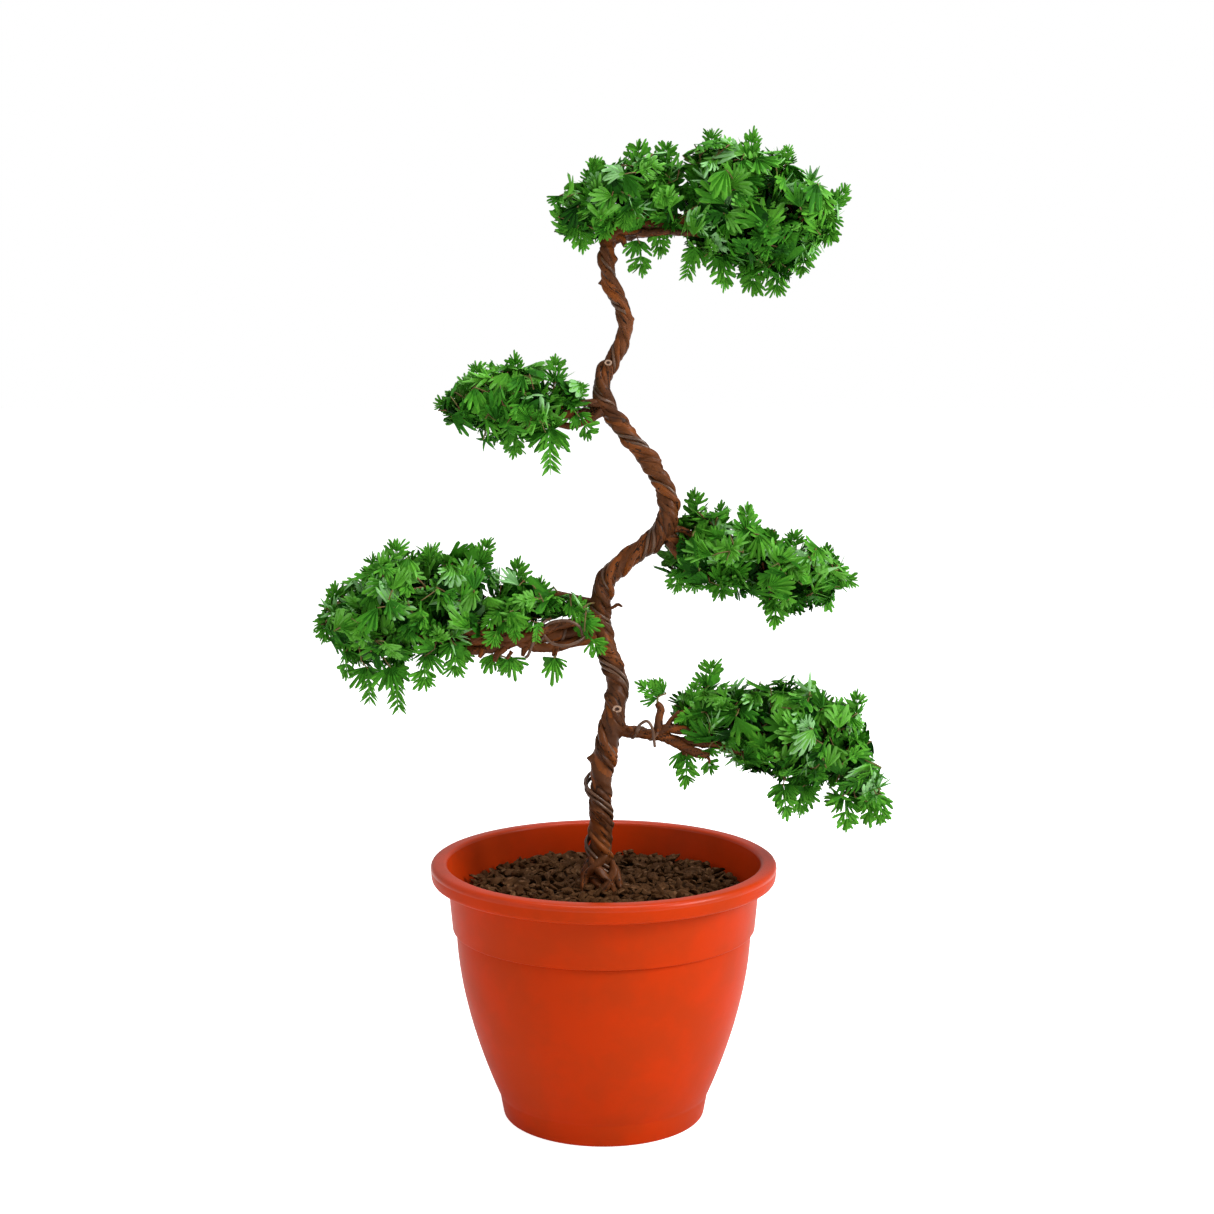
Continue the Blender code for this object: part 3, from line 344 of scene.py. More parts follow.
# Foliage. A stem's knots are x, y, z and radius, an outline's are x and the lowest and highest z there,
# depth is the half size front to back, and sprigs are the tips of single far shoots, all in millimetres,
# some with their share of the usual size and the kind of their end spray.
Mass = namedtuple("Mass", "name bearer stem outline depth sprigs seed")
MASSES = (
    Mass(
        "top_left_foliage", "trunk", ((0, 2, 521, 2.4), (-7, 0, 526, 1.8), (-14, -2, 528, 1.3)),
        (
            (-30, 511, 518), (-26.5, 504, 527), (-18, 499, 535), (-5, 500, 543), (10, 503, 550),
            (26, 501, 554), (43, 498, 555),
        ),
        34,
        (
            (-26, 0, 514, 0.7), (-15, -8, 497), (-7, -10, 496, 0.8), (3, -12, 502), (20, -13, 484, 0.95),
            (33, -10, 494, 0.9), (20, -4, 556, 0.9), (35, -2, 556, 0.8), (12, -18, 508, 0.7),
            (-5, 0, 547, 0.7),
        ),
        11,
    ),
    Mass(
        "top_right_foliage", "apex_bough", ((70, 2, 520, 2.1), (95, -2, 522, 1.6), (112, -2, 520, 1.2)),
        (
            (43, 498, 555), (57, 487, 560), (72, 482, 560), (87, 477, 557), (100, 475, 552),
            (113, 487, 545), (124, 501, 533), (131, 510, 524),
        ),
        38,
        (
            (128, 0, 516, 0.7), (134, 0, 533, 0.75), (46, -10, 483, 0.95, "fern"), (96, 0, 473),
            (80, -4, 561), (59, -2, 562, 0.8), (103, 2, 554, 0.6), (127, 2, 501, 0.9), (66, -8, 477),
            (84, 4, 475), (112, -2, 484, 0.8),
        ),
        12,
    ),
    Mass(
        "upper_left_foliage", "upper_left_bough", ((-52, 0, 409, 1.9), (-75, -2, 410, 1.4)),
        (
            (-95, 405, 412), (-89, 399, 421), (-78, 393, 432), (-62, 387, 438), (-46, 386, 438),
            (-31, 391, 437), (-20, 403, 427), (-5, 406, 420),
        ),
        30,
        (
            (-94, 0, 411, 0.7), (-30, -8, 377, 1.25, "fern"), (-27, 0, 438, 0.8), (-49, 4, 439, 0.9),
            (-71, 0, 434, 0.8), (15, 10, 415, 0.6), (14, 11, 405, 0.6), (-6, -6, 394, 0.8), (-50, -6, 383),
            (-11, -2, 424, 0.7),
        ),
        13,
    ),
    Mass(
        "middle_right_foliage", "middle_right_bough",
        ((84, 3, 314, 2.0), (106, 0, 311, 1.6), (124, -2, 307, 1.2)),
        (
            (29, 319, 329), (35, 316, 341), (46, 309, 356), (58, 306, 358), (72, 305, 353), (86, 299, 347),
            (98, 290, 343), (112, 290, 341), (124, 295, 335), (134, 301, 328), (141, 307, 319),
        ),
        31,
        (
            (141, 0, 309, 0.9), (98, 0, 287), (53, 2, 363, 0.8), (81, -4, 355, 0.9), (109, 0, 340, 0.8),
            (126, 0, 332, 0.8), (66, -2, 356, 0.8), (66, -6, 303), (51, -8, 307, 0.9), (42, -9, 307, 0.8),
            (128, 0, 297, 0.8),
        ),
        25,
    ),
    Mass(
        "left_outer_foliage", "left_bough",
        ((-90, -5, 279, 2.4), (-118, -2, 283, 1.8), (-142, 0, 286, 1.3)),
        (
            (-162, 284, 293), (-157, 277, 304), (-150, 270, 313), (-142, 264, 321), (-130, 260, 329),
            (-118, 259, 334), (-104, 263, 333), (-90, 267, 331), (-78, 271, 330), (-66, 273, 332),
        ),
        42,
        (
            (-163, 0, 287, 0.9), (-161, -4, 279, 0.7), (-152, 0, 310, 0.9), (-118, -12, 241.5, 1.2, "fern"),
            (-133, -12, 245, 1.1, "fern"), (-119, -3, 335), (-66, 0, 336, 0.9), (-101, -14, 254),
            (-146, -8, 258, 0.8), (-83, -12, 260), (-119, 12, 250, 0.9), (-143, 10, 264, 0.9),
            (-84, 10, 264), (-98, 0, 332), (-131, 0, 326, 0.8),
        ),
        16,
    ),
    Mass(
        "left_inner_foliage", "left_stub", ((-12, 5, 300.5, 2.0), (-26, 3, 304, 1.8), (-46, 0, 305, 1.3)),
        (
            (-66, 273, 331), (-54, 280, 323), (-40, 284, 316), (-28, 286, 310), (-17, 288, 306),
            (-6, 289, 302),
        ),
        33,
        (
            (-53, -9, 255.5, 0.9, "fan"), (-28, -11, 256, 0.8, "fan"), (-67, -9, 260, 0.7, "fan"),
            (-50, -16, 281, 0.75), (-37, -15, 280, 0.6, "fern"), (-62, -17, 278, 0.8), (-4, -11, 271, 0.9),
            (-10, -8, 288, 0.8), (-17, -2, 305, 0.8, "fan"), (-36, -2, 313, 0.8), (-49, -2, 324, 0.9),
            (-66, -16, 288, 0.8),
        ),
        17,
    ),
    Mass(
        "lower_right_foliage", "lower_right_bough",
        ((70, -6, 221, 2.3), (98, -2, 219, 1.9), (125, 0, 208, 1.4), (144, 0, 198, 1.1)),
        (
            (37, 230, 248), (48, 222, 252), (60, 215, 254), (72, 208, 256), (84, 198, 258), (98, 191, 259),
            (112, 189, 257), (126, 186, 254), (138, 183, 249), (149, 181, 237), (156, 178, 222),
            (161, 176, 202),
        ),
        35,
        (
            (20, -10, 254, 0.75), (27, -9, 257, 0.7), (60, -5, 268, 0.9), (50, -7, 255, 0.8),
            (47, -11, 197, 0.95), (59, -11, 203, 0.75), (42, -10, 236, 0.8), (162, 0, 172, 0.9),
            (138, -10, 171), (102, -12, 179), (113, -8, 179, 0.9), (151, -6, 174), (118, 10, 182),
            (145, 2, 247.5, 0.75),
        ),
        19,
    ),
)
# The twig above the left bough, from inside the trunk
LEFT_STUB = ((-2, 5.5, 298.5, 2.3), (-6, 5, 299.5, 2.2))

# Knots of thick short twigs of a mass that stand up from its bough
SPURS = {
    "lower_right_foliage": (
        ((31.5, -8, 226, 2.7), (31.4, -9, 234, 2.5), (32.6, -9, 240, 2.1), (30.4, -9.5, 243.5, 1.6)),
        ((35, -8, 226, 1.8), (38, -9, 233, 1.6), (43.5, -8, 238, 1.3)),
        ((58, -9, 215, 1.4), (60, -11, 211.5, 0.9), (60, -11, 209, 0.6)),
    ),
    "left_inner_foliage": (
        ((-26, -6, 276, 1.3), (-27, -9, 272, 0.9), (-27.5, -10, 269, 0.6)),
        ((-52, -8, 273, 1.3), (-54.5, -9, 269, 0.9), (-54, -9, 266, 0.6)),
    ),
}

ROOT_SPACING = 2.5  # along a limb, between the twigs that leave it
ROOT_COST = 1.3  # of a twig's length, less the next where it leans right forwards
LEAN_SAVING = 0.55
TWIG_BOW = 0.1
TWIG_RISE = (-0.02, 0.1)
LEAST_TWIG = 1.0
TWIG_ROOM = 1.0  # between twigs and limbs
SPRAY_ROOM = 3.0  # between sprays and limbs
LUMP_DEPTH = 5.0  # how far the skin of a pad falls back between its clumps
LUMP_SIZE = 17.0
SIDE_LUMP_DEPTH = 9.0  # how much further it does so at a pad's front and back
END_REACH = 5.0  # how far from a pad's left and right end its skin turns outwards to it
END_DEPTH = 1.5
TRIES_PER_PLACE = 60
MOST_TRIES = 60000
HELD_SHARE = 0.96  # how far out in the oval a spray's foot may lie
SHAPES_PER_KIND = 14
# Layers of sprays, from the inside out: the setting for their spacing and a share of it, the depths of
# their tips in millimetres, share of a spray's size, tone, lower inside as painted shade, how much paler
# on top as painted light, and kind if only one
Layer = namedtuple("Layer", "spacing share shallowest deepest size tone sunlit kind")
LAYERS = (
    Layer("inner_spacing", 1.1, 15, 32, 0.9, -0.3, 0.0, "plain_fan"),
    Layer("inner_spacing", 1.0, 7.5, 14, 0.85, 0.9, 0.2, "fan"),
    Layer("spray_spacing", 1.0, 0, 5, 1.0, 3.4, 0.75, None),
)
TONE_SPREAD = 1.25
SPRAY_SIZES = (0.8, 1.18)  # least and greatest, in shares of a layer's size
SPRAY_MIDDLE = 0.6  # of a spray's length, where it is held clear of limbs
BRANCHLET_SPACING = 13
BRANCHLET_DEPTHS = (12, 60)
BRANCHLET_RADII = (1.35, 0.8)  # at its foot and its tip
SHOOT_RADII = (0.62, 0.45)
SPRIG_RADII = (0.8, 0.55)
SPRIG_END_TONE = 3.4
SPRIG_SIDE_TONE = 2.8
SPIKE_CHANCE = 0.5  # that a spray points out of a pad's top or bottom, and how much less at its sides
SPIKE_LOSS = 0.32
SPIKE_SWAY = 0.35  # how far such a spray leans along the skin, and how far it rises
SPIKE_RISE = 0.15
SPLAY = (0.15, 0.6)  # how far out of the skin the other sprays point
# Kinds of spray, by a chance from 0 to 1: on an underside fronds up to the first limit and ferns up to
# the second, elsewhere fans up to the first, fronds up to the second and tufts above it
UNDERSIDE = -0.35  # upright part of a way out of the skin
HANGING_LIMITS = (0.26, 0.34)
SPIKE_LIMITS = (0.5, 0.88)
SPLAYED_LIMITS = (0.8, 0.94)
HEADING_SHARE = 0.75  # of its shoot's heading in the way a spray runs, and how far it strays
STRAY = 0.55
RIGHTWARD = np.array((1.0, 0, 0))
UPWARD = np.array((0, 0, 1.0))
FORWARD = np.array((0, -1.0, 0))
END_MARGIN = 0.97
NEEDLE_PROFILE = ((0, 0.6), (0.45, 1.0), (1.0, 0.2))  # shares of a needle's length and width
TONES = (  # base colours of the needles, from the painted shade inside a mass to the pale young tips and painted light
    ("needles_deep", (0.004, 0.035, 0.002)),
    ("needles_shade", (0.011, 0.078, 0.004)),
    ("needles_forest", (0.025, 0.145, 0.009)),
    ("needles_mid", (0.048, 0.225, 0.014)),
    ("needles_grass", (0.088, 0.320, 0.024)),
    ("needles_fresh", (0.140, 0.415, 0.060)),
    ("needles_pale", (0.260, 0.540, 0.210)),
)


def make_array(knots):
    return np.array(knots, float) * MM


def walked_along(places):
    """How far along a path each of its points lies."""
    return np.concatenate([[0], np.cumsum(np.linalg.norm(np.diff(places, axis=0), axis=1))])


def between(marks, index, values):
    """Every column of values, read off at marks."""
    columns = values.reshape(len(values), -1).T
    return np.stack([np.interp(marks, index, column) for column in columns], axis=1)


def smooth_path(knots, steps):
    """Places and radii along a Catmull-Rom curve through knots given in millimetres."""
    marks = make_array(knots)
    marks = np.vstack([2 * marks[0] - marks[1], marks, 2 * marks[-1] - marks[-2]])
    path = []
    for before, here, there, after in zip(marks, marks[1:], marks[2:], marks[3:]):
        for step in range(steps):
            t = step / steps
            curve = 2 * here + (there - before) * t
            curve = curve + (2 * before - 5 * here + 4 * there - after) * t**2
            curve = curve + (3 * here - before - 3 * there + after) * t**3
            path.append(curve / 2)
    path = np.array([*path, marks[-2]])
    return path[:, :3], path[:, 3]


def even_path(knots, spacing):
    """Places and radii an even distance apart along the smooth curve through knots, and how far along."""
    places, radii = smooth_path(knots, 12)
    walked = walked_along(places)
    marks = np.linspace(0, walked[-1], max(2, round(walked[-1] / spacing)) + 1)
    return between(marks, walked, places), np.interp(marks, walked, radii), marks


def frames_along(places):
    """Unit vectors (side, depth) across each point of a path, carried along it without twist."""
    along = np.gradient(places, axis=0)
    along /= np.linalg.norm(along, axis=1)[:, None]
    side = UPWARD if abs(along[0][0]) > 0.9 else RIGHTWARD
    sides = []
    for heading in along:
        side = side - heading * side.dot(heading)
        side /= np.linalg.norm(side)
        sides.append(side)
    return np.array(sides), np.cross(along, sides)


def ring_angles(sides):
    return np.linspace(0, math.tau, sides, endpoint=False)


def swept(places, reach, frames=None):
    """A grid of points round a path: reach holds one radius for each ring and corner."""
    side, depth = frames or frames_along(places)
    angles = ring_angles(reach.shape[1])[None, :, None]
    out = side[:, None] * np.cos(angles) + depth[:, None] * np.sin(angles)
    return places[:, None] + out * reach[:, :, None]


def closed_tube(grid, centres=None):
    """Points and faces of a grid, closed at each end by triangles to a centre."""
    rings, sides, _ = grid.shape
    centres = centres or (grid[0].mean(axis=0), grid[-1].mean(axis=0))
    points = np.vstack([grid.reshape(-1, 3), *centres])
    ring = np.arange(sides)
    beside = np.roll(ring, -1)
    rows = np.arange(rings - 1)[:, None] * sides
    low, low_beside = (rows + ring).ravel(), (rows + beside).ravel()
    last = (rings - 1) * sides
    centre = np.full(sides, len(points) - 2)
    return points, [
        np.stack([low, low_beside, low_beside + sides, low + sides], axis=1),
        np.stack([beside, ring, centre], axis=1),
        np.stack([ring + last, beside + last, centre + 1], axis=1),
    ]


def turned(outline, sides):
    """Points and faces of an outline turned about Z, with its first and last points on the axis."""
    rings = outline[1:-1]
    axis = rings[:, 1, None] * UPWARD
    grid = swept(axis, np.repeat(rings[:, :1], sides, axis=1), (RIGHTWARD[None], -FORWARD[None]))
    return closed_tube(grid, [(0, 0, outline[0][1]), (0, 0, outline[-1][1])])


def plain_tones(faces):
    """Tone 0 for every face."""
    return np.zeros(sum(len(part) for part in faces), int)


def joined(shapes):
    """Many (points, face arrays, tones) as one, with the tones, if any, in the order of the faces."""
    points, faces, tones = [], [], []
    count = 0
    for shape_points, shape_faces, *shape_tones in shapes:
        points.append(shape_points)
        faces += [part + count for part in shape_faces]
        tones += shape_tones
        count += len(shape_points)
    return np.vstack(points), faces, np.concatenate(tones) if tones else plain_tones(faces)


def new_piece(name, shape, materials):
    """A mesh object from points, arrays of faces and their tones, riding on the part's body."""
    points, faces, tones = shape
    mesh = bpy.data.meshes.new(name)
    sizes = np.concatenate([np.full(len(part), part.shape[1]) for part in faces])
    corners = np.concatenate([part.ravel() for part in faces]).astype(np.int32)
    mesh.vertices.add(len(points))
    mesh.vertices.foreach_set("co", np.asarray(points, np.float32).ravel())
    mesh.loops.add(len(corners))
    mesh.loops.foreach_set("vertex_index", corners)
    mesh.polygons.add(len(sizes))
    mesh.polygons.foreach_set("loop_start", np.concatenate([[0], np.cumsum(sizes)[:-1]]).astype(np.int32))
    mesh.polygons.foreach_set("material_index", np.asarray(tones, np.int32))
    for material in materials:
        mesh.materials.append(material)
    mesh.update(calc_edges=True)
    mesh.shade_smooth()
    piece = bpy.data.objects.new(name, mesh)
    bpy.context.scene.collection.objects.link(piece)
    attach(piece, BODY)
    return piece


def sharpened(piece, angle):
    piece.data.set_sharp_from_angle(angle=math.radians(angle))


def rough(points, scale, octaves=3, seed=0.0):
    """Fractal noise at points, of features about one scale across."""
    offset = Vector((seed, -seed, 2 * seed))
    return np.array([noise.fractal(Vector(point) / scale + offset, 1.0, 2.0, octaves) for point in points])


def rotation(axis, angle):
    """A matrix that turns about X (0) or Z (2), or lifts X towards Z (1)."""
    cos, sin = math.cos(angle), math.sin(angle)
    low, high = ((1, 2), (0, 2), (0, 1))[axis]
    matrix = np.eye(3)
    matrix[low, low] = matrix[high, high] = cos
    matrix[low, high] = -sin
    matrix[high, low] = sin
    return matrix


def turn_towards(way):
    """The matrix that turns Z to a way."""
    return np.array(way.to_track_quat("Z", "Y").to_matrix())


def scaled(colour, share):
    return tuple(channel * share for channel in colour)


# Shader building


def plug(tree, node, sockets):
    """Sets a node's sockets to values, or links them to other nodes' sockets."""
    for key, value in sockets.items():
        if isinstance(value, bpy.types.NodeSocket):
            tree.links.new(value, node.inputs[key])
        else:
            node.inputs[key].default_value = value


def add_node(tree, kind, sockets, output=0, **settings):
    """One output of a new shader node."""
    node = tree.nodes.new("ShaderNode" + kind)
    for name, value in settings.items():
        setattr(node, name, value)
    plug(tree, node, sockets)
    return node.outputs[output]


MOTTLE_INPUTS = {
    "Colour": "Color",
    "Patch Colour": "Color",
    "Patch Scale": "Float",
    "Patch Amount": "Float",
    "Stretch": "Vector",
    "Grain Scale": "Float",
    "Roughness": "Float",
    "Roughness Spread": "Float",
}
MOTTLE_OUTPUTS = {"Colour": "Color", "Roughness": "Float", "Mask": "Float", "Height": "Float"}


def mottle_group():
    """Two colours mixed in soft patches and fine specks, with the mask and a roughness that follow them."""
    name = "mottled surface"
    if name in bpy.data.node_groups:
        return bpy.data.node_groups[name]
    tree = bpy.data.node_groups.new(name, "ShaderNodeTree")
    for way, labels in (("INPUT", MOTTLE_INPUTS), ("OUTPUT", MOTTLE_OUTPUTS)):
        for label, kind in labels.items():
            tree.interface.new_socket(name=label, in_out=way, socket_type="NodeSocket" + kind)
    given = tree.nodes.new("NodeGroupInput").outputs
    place = add_node(tree, "TexCoord", {}, "Object")
    stretched = add_node(tree, "VectorMath", {0: place, 1: given["Stretch"]}, operation="MULTIPLY")
    soft = {"Vector": stretched, "Scale": given["Patch Scale"], "Detail": 5, "Roughness": 0.62}
    patches = add_node(tree, "TexNoise", soft, "Fac")
    fine = {"Vector": stretched, "Scale": given["Grain Scale"], "Detail": 3}
    grain = add_node(tree, "TexNoise", fine, "Fac")
    limits = {"Value": patches, "From Min": 0.36, "From Max": 0.66}
    mask = add_node(tree, "MapRange", limits, "Result", interpolation_type="SMOOTHSTEP")
    share = add_node(tree, "Math", {0: mask, 1: given["Patch Amount"]}, operation="MULTIPLY")
    colours = {"Factor": share, "A": given["Colour"], "B": given["Patch Colour"]}
    mixed = add_node(tree, "Mix", colours, "Result", data_type="RGBA")
    centred = add_node(tree, "Math", {0: grain, 1: 0.5}, operation="SUBTRACT")
    spread = {0: centred, 1: given["Roughness Spread"], 2: given["Roughness"]}
    rougher = add_node(tree, "Math", spread, operation="MULTIPLY_ADD")
    relief = add_node(tree, "Math", {0: patches, 1: 0.6, 2: grain}, operation="MULTIPLY_ADD")
    found = {"Colour": mixed, "Roughness": rougher, "Mask": mask, "Height": relief}
    plug(tree, tree.nodes.new("NodeGroupOutput"), found)
    return tree


MADE = {}


def mottled_material(name, look):
    """A Principled material whose colour, roughness and bump come from the mottled surface."""
    if name in MADE:
        return MADE[name]
    material = MADE[name] = bpy.data.materials.new(name)
    material.use_nodes = True
    tree = material.node_tree
    values = (
        (*look.colour, 1),
        (*look.patch, 1),
        look.patch_scale,
        look.patch_amount,
        look.stretch,
        look.grain_scale,
        look.roughness,
        look.spread,
    )
    surface = tree.nodes.new("ShaderNodeGroup")
    surface.node_tree = mottle_group()
    plug(tree, surface, dict(zip(MOTTLE_INPUTS, values)))
    found = surface.outputs
    sockets = {"Base Color": found["Colour"], "Roughness": found["Roughness"]}
    sockets["Specular IOR Level"] = look.specular
    if look.bump:
        relief = {"Strength": 1.0, "Distance": look.bump, "Height": found["Height"]}
        sockets["Normal"] = add_node(tree, "Bump", relief, "Normal")
    plug(tree, tree.nodes["Principled BSDF"], sockets)
    return material


# Settings


def length_setting(name, description, size):
    return FloatProperty(name=name, description=description, default=size * MM, unit="LENGTH")


def colour_setting(name, description, value):
    return FloatVectorProperty(name=name, description=description, default=value, subtype="COLOR")


def power_setting(name, description, watts):
    return FloatProperty(name=name, description=description, default=watts, unit="POWER")


class PotSettings(PropertyGroup):
    """Size and colours of the pot."""

    sides: IntProperty(name="Sides", description="Facets round the pot", default=192, min=32)
    lip_round: length_setting("Lip rounding", "Radius of the lip's edges", 3.4)
    colour: colour_setting("Colour", "Moulded plastic", (0.5, 0.0335, 0.002))
    patch_colour: colour_setting("Patch colour", "Faded and dusty patches", (0.41, 0.034, 0.0035))


class SoilSettings(PropertyGroup):
    """Granules that fill the pot's mouth."""

    grain_size: length_setting("Granule size", "Mean width of a granule", 6.3)
    colour: colour_setting("Colour", "Moist bark grit", (0.052, 0.0205, 0.0065))
    # The drier grit is also the base of the painted highlight along one ridge of each chip
    patch_colour: colour_setting("Patch colour", "Drier grit", (0.105, 0.048, 0.019))


class LimbSettings(PropertyGroup):
    """Bark of the trunk and the boughs."""

    ring_spacing: length_setting("Ring spacing", "Between the rings of the bark's mesh", 0.65)
    sides: IntProperty(name="Sides", description="Corners in a ring of the trunk", default=64, min=12)
    relief: length_setting("Relief", "Depth of the bark's ridges", 0.8)
    twist: FloatProperty(name="Twist", description="Turn of the flutes per millimetre", default=0.13)
    colour: colour_setting("Colour", "Outer bark", (0.068, 0.0245, 0.0095))
    inner_colour: colour_setting("Inner colour", "Bark under the flakes", (0.21, 0.058, 0.0115))
    patch_colour: colour_setting("Patch colour", "Warmer patches", (0.155, 0.049, 0.014))
    # Painted shade: a near-black colour for the creases where one strand of bark drops to the next
    furrow_colour: colour_setting("Furrow colour", "Bottom of the furrows", (0.016, 0.007, 0.0035))


class WireSettings(PropertyGroup):
    """Training wire."""

    thickness: length_setting("Thickness", "Diameter of a strand", 2.1)
    colour: colour_setting("Colour", "Copper-brown wire", (0.12, 0.055, 0.026))


class FoliageSettings(PropertyGroup):
    """Sprays of needles, and how closely they stand."""

    spray_size: length_setting("Spray size", "Length of a spray of needles", 17.8)
    spray_spacing: length_setting("Spray spacing", "Between sprays on the outside", 6.4)
    inner_spacing: length_setting("Inner spacing", "Between sprays inside a mass", 8.2)
    brightness: FloatProperty(
        name="Brightness", description="Scales every green", default=1.0, min=0.1, max=3.0, subtype="FACTOR"
    )


class StageSettings(PropertyGroup):
    """Floor and lights."""

    floor_colour: colour_setting("Floor colour", "Pale studio floor", (0.9, 0.9, 0.9))
    key_power: power_setting("Key light", "Power of the key light", 42)
    top_power: power_setting("Top light", "Power of the top light", 31)
    fill_power: power_setting("Fill light", "Power of the fill light", 4)
    floor_glow: FloatProperty(
        name="Floor glow", description="Light that keeps the floor white to the camera", default=0.85, min=0
    )
    sky: FloatProperty(name="Sky light", description="Strength of the white surroundings", default=0.4, min=0)


class BonsaiSettings(PropertyGroup):
    """Everything that a user would change."""

    pot: PointerProperty(type=PotSettings)
    soil: PointerProperty(type=SoilSettings)
    limbs: PointerProperty(type=LimbSettings)
    wire: PointerProperty(type=WireSettings)
    foliage: PointerProperty(type=FoliageSettings)
    stage: PointerProperty(type=StageSettings)


# Pot and soil


def body_radius(height):
    """Outer radius of the pot's body in millimetres, which swells up to the band."""
    fall = (BAND_FOOT_HEIGHT - height) / (BAND_FOOT_HEIGHT - BODY_FOOT_HEIGHT)
    return BODY_TOP_RADIUS - (BODY_TOP_RADIUS - BODY_FOOT_RADIUS) * fall**BODY_SWELL


def rounded(corners, steps=4):
    """An outline of (radius, height, rounding) corners, with an arc-like curve at each rounded one."""
    outline = []
    for index, (radius, height, rounding) in enumerate(corners):
        here = np.array((radius, height), float)
        if not rounding:
            outline.append(here)
            continue
        ends = []
        for beside in (corners[index - 1], corners[index + 1]):
            way = np.array(beside[:2], float) - here
            away = np.linalg.norm(way)
            ends.append(here + way / away * min(rounding, away * 0.45))
        for step in range(steps + 1):
            t = step / steps
            outline.append(ends[0] * (1 - t) ** 2 + here * 2 * t * (1 - t) + ends[1] * t**2)
    return np.array(outline)


def pot_outline(lip_round):
    """The pot's outline from the centre of its underside, over the lip, to the centre of its floor."""
    lip_foot = POT_HEIGHT - LIP_DEPTH
    heights = np.linspace(BODY_FOOT_HEIGHT, BAND_FOOT_HEIGHT, 22)
    corners = [
        (0, 0, 0),
        (FOOT_RADIUS, 0, 1.6),
        (FOOT_TOP_RADIUS, FOOT_TOP_HEIGHT, 1.2),
        (body_radius(BODY_FOOT_HEIGHT), BODY_FOOT_HEIGHT, 0.6),
        *((body_radius(height), height, 0) for height in heights[1:-1]),
        (BODY_TOP_RADIUS - 0.3, BAND_FOOT_HEIGHT - 0.4, 0.3),
        (BODY_TOP_RADIUS - 0.7, BAND_FOOT_HEIGHT, 0),
        (BAND_FOOT_RADIUS, BAND_FOOT_HEIGHT + 0.3, 0.9),
        (BAND_TOP_RADIUS, lip_foot, 1.0),
        (RIM_RADIUS - 0.9, lip_foot, lip_round * 0.8),
        (RIM_RADIUS, POT_HEIGHT + 0.2, lip_round),
        (RIM_INNER_RADIUS - 0.3, POT_HEIGHT + 0.4, lip_round * 0.6),
        (BAND_TOP_RADIUS - WALL - 0.6 + 1.2, POT_HEIGHT - 14, 3),
        *((body_radius(height) - WALL, height, 0) for height in heights[::-1]),
        (FOOT_TOP_RADIUS - WALL, FLOOR, 1.5),
        (0, FLOOR, 0),
    ]
    return rounded(corners) * MM


class BONSAI_OT_pot(Operator):
    """Turns the smooth pot with its rolled lip and moulded band"""

    bl_idname = "bonsai.pot"
    bl_label = "Pot"

    def execute(self, context):
        settings = context.scene.bonsai.pot
        colours = tuple(settings.colour), tuple(settings.patch_colour)
        look = Finish(*colours, *PLASTIC_SURFACE)
        material = mottled_material("moulded_terracotta", look)
        worn = mottled_material("worn_terracotta", look._replace(roughness=0.3, specular=0.2))
        outline = pot_outline(settings.lip_round / MM)
        points, faces = turned(outline, settings.sides)
        on_lip = outline[1:-1, 1].clip(max=POT_HEIGHT * MM) > (POT_HEIGHT - LIP_DEPTH * 0.7) * MM
        tones = plain_tones(faces)
        tones[: len(faces[0])] = np.repeat(on_lip[:-1] & on_lip[1:], settings.sides)
        pot = new_piece("pot_shell", (points, faces, tones), [material, worn])
        sharpened(pot, 50)
        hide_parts("pot")
        return {"FINISHED"}


def chip_shapes(draw):
    """Bent chips of bark about one unit long: fat tubes along an arc, pinched at their ends and uneven."""
    shapes = []
    share = np.linspace(-0.5, 0.5, 7)
    sides = len(CHIP_RIDGES)
    for number in range(CHIP_KINDS):
        bend = math.radians(draw.uniform(*CHIP_BENDS))
        lift = draw.uniform(*CHIP_LIFTS)
        arc = share * bend
        path = np.stack([np.sin(arc) / bend, (1 - np.cos(arc)) / bend, lift * share], axis=1)
        thick = draw.uniform(*CHIP_RADII) * (1 - 0.5 * np.abs(2 * share) ** 3)
        ridges = np.roll(CHIP_RIDGES, draw.randrange(sides))
        points, faces = closed_tube(swept(path, thick[:, None] * ridges))
        points = points * np.array((1, 1, draw.uniform(*CHIP_FLATNESS)))
        uneven = rough(points, 0.42, 2, seed=3.1 * number)
        tones = plain_tones(faces)
        # Painted highlight: the faces along one ridge of each chip take the paler second material
        highlight_side = draw.randrange(sides)
        tones[: len(faces[0])].reshape(-1, sides)[1:-1, highlight_side] = 1
        shapes.append((points * (1 + CHIP_UNEVENNESS * uneven[:, None]), faces, tones))
    return shapes


class SoilTop:
    """Heights of the packed soil's lumpy top."""

    def __init__(self):
        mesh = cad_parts["soil"].data
        corners = [corner.co for corner in mesh.vertices]
        self.tree = BVHTree.FromPolygons(corners, [tuple(face.vertices) for face in mesh.polygons])

    def height(self, x, y):
        """The top's height at a place, or next to it where the place lies over the soil's edge."""
        for inwards in (1, 0.97, 0.9):
            hit = self.tree.ray_cast(Vector((x * inwards, y * inwards, 1)), Vector((0, 0, -1)))[0]
            if hit:
                return hit.z + BACK_LIFT * max(y, 0) + RIGHT_LIFT * max(x, 0)
        raise ValueError("no soil under a granule")


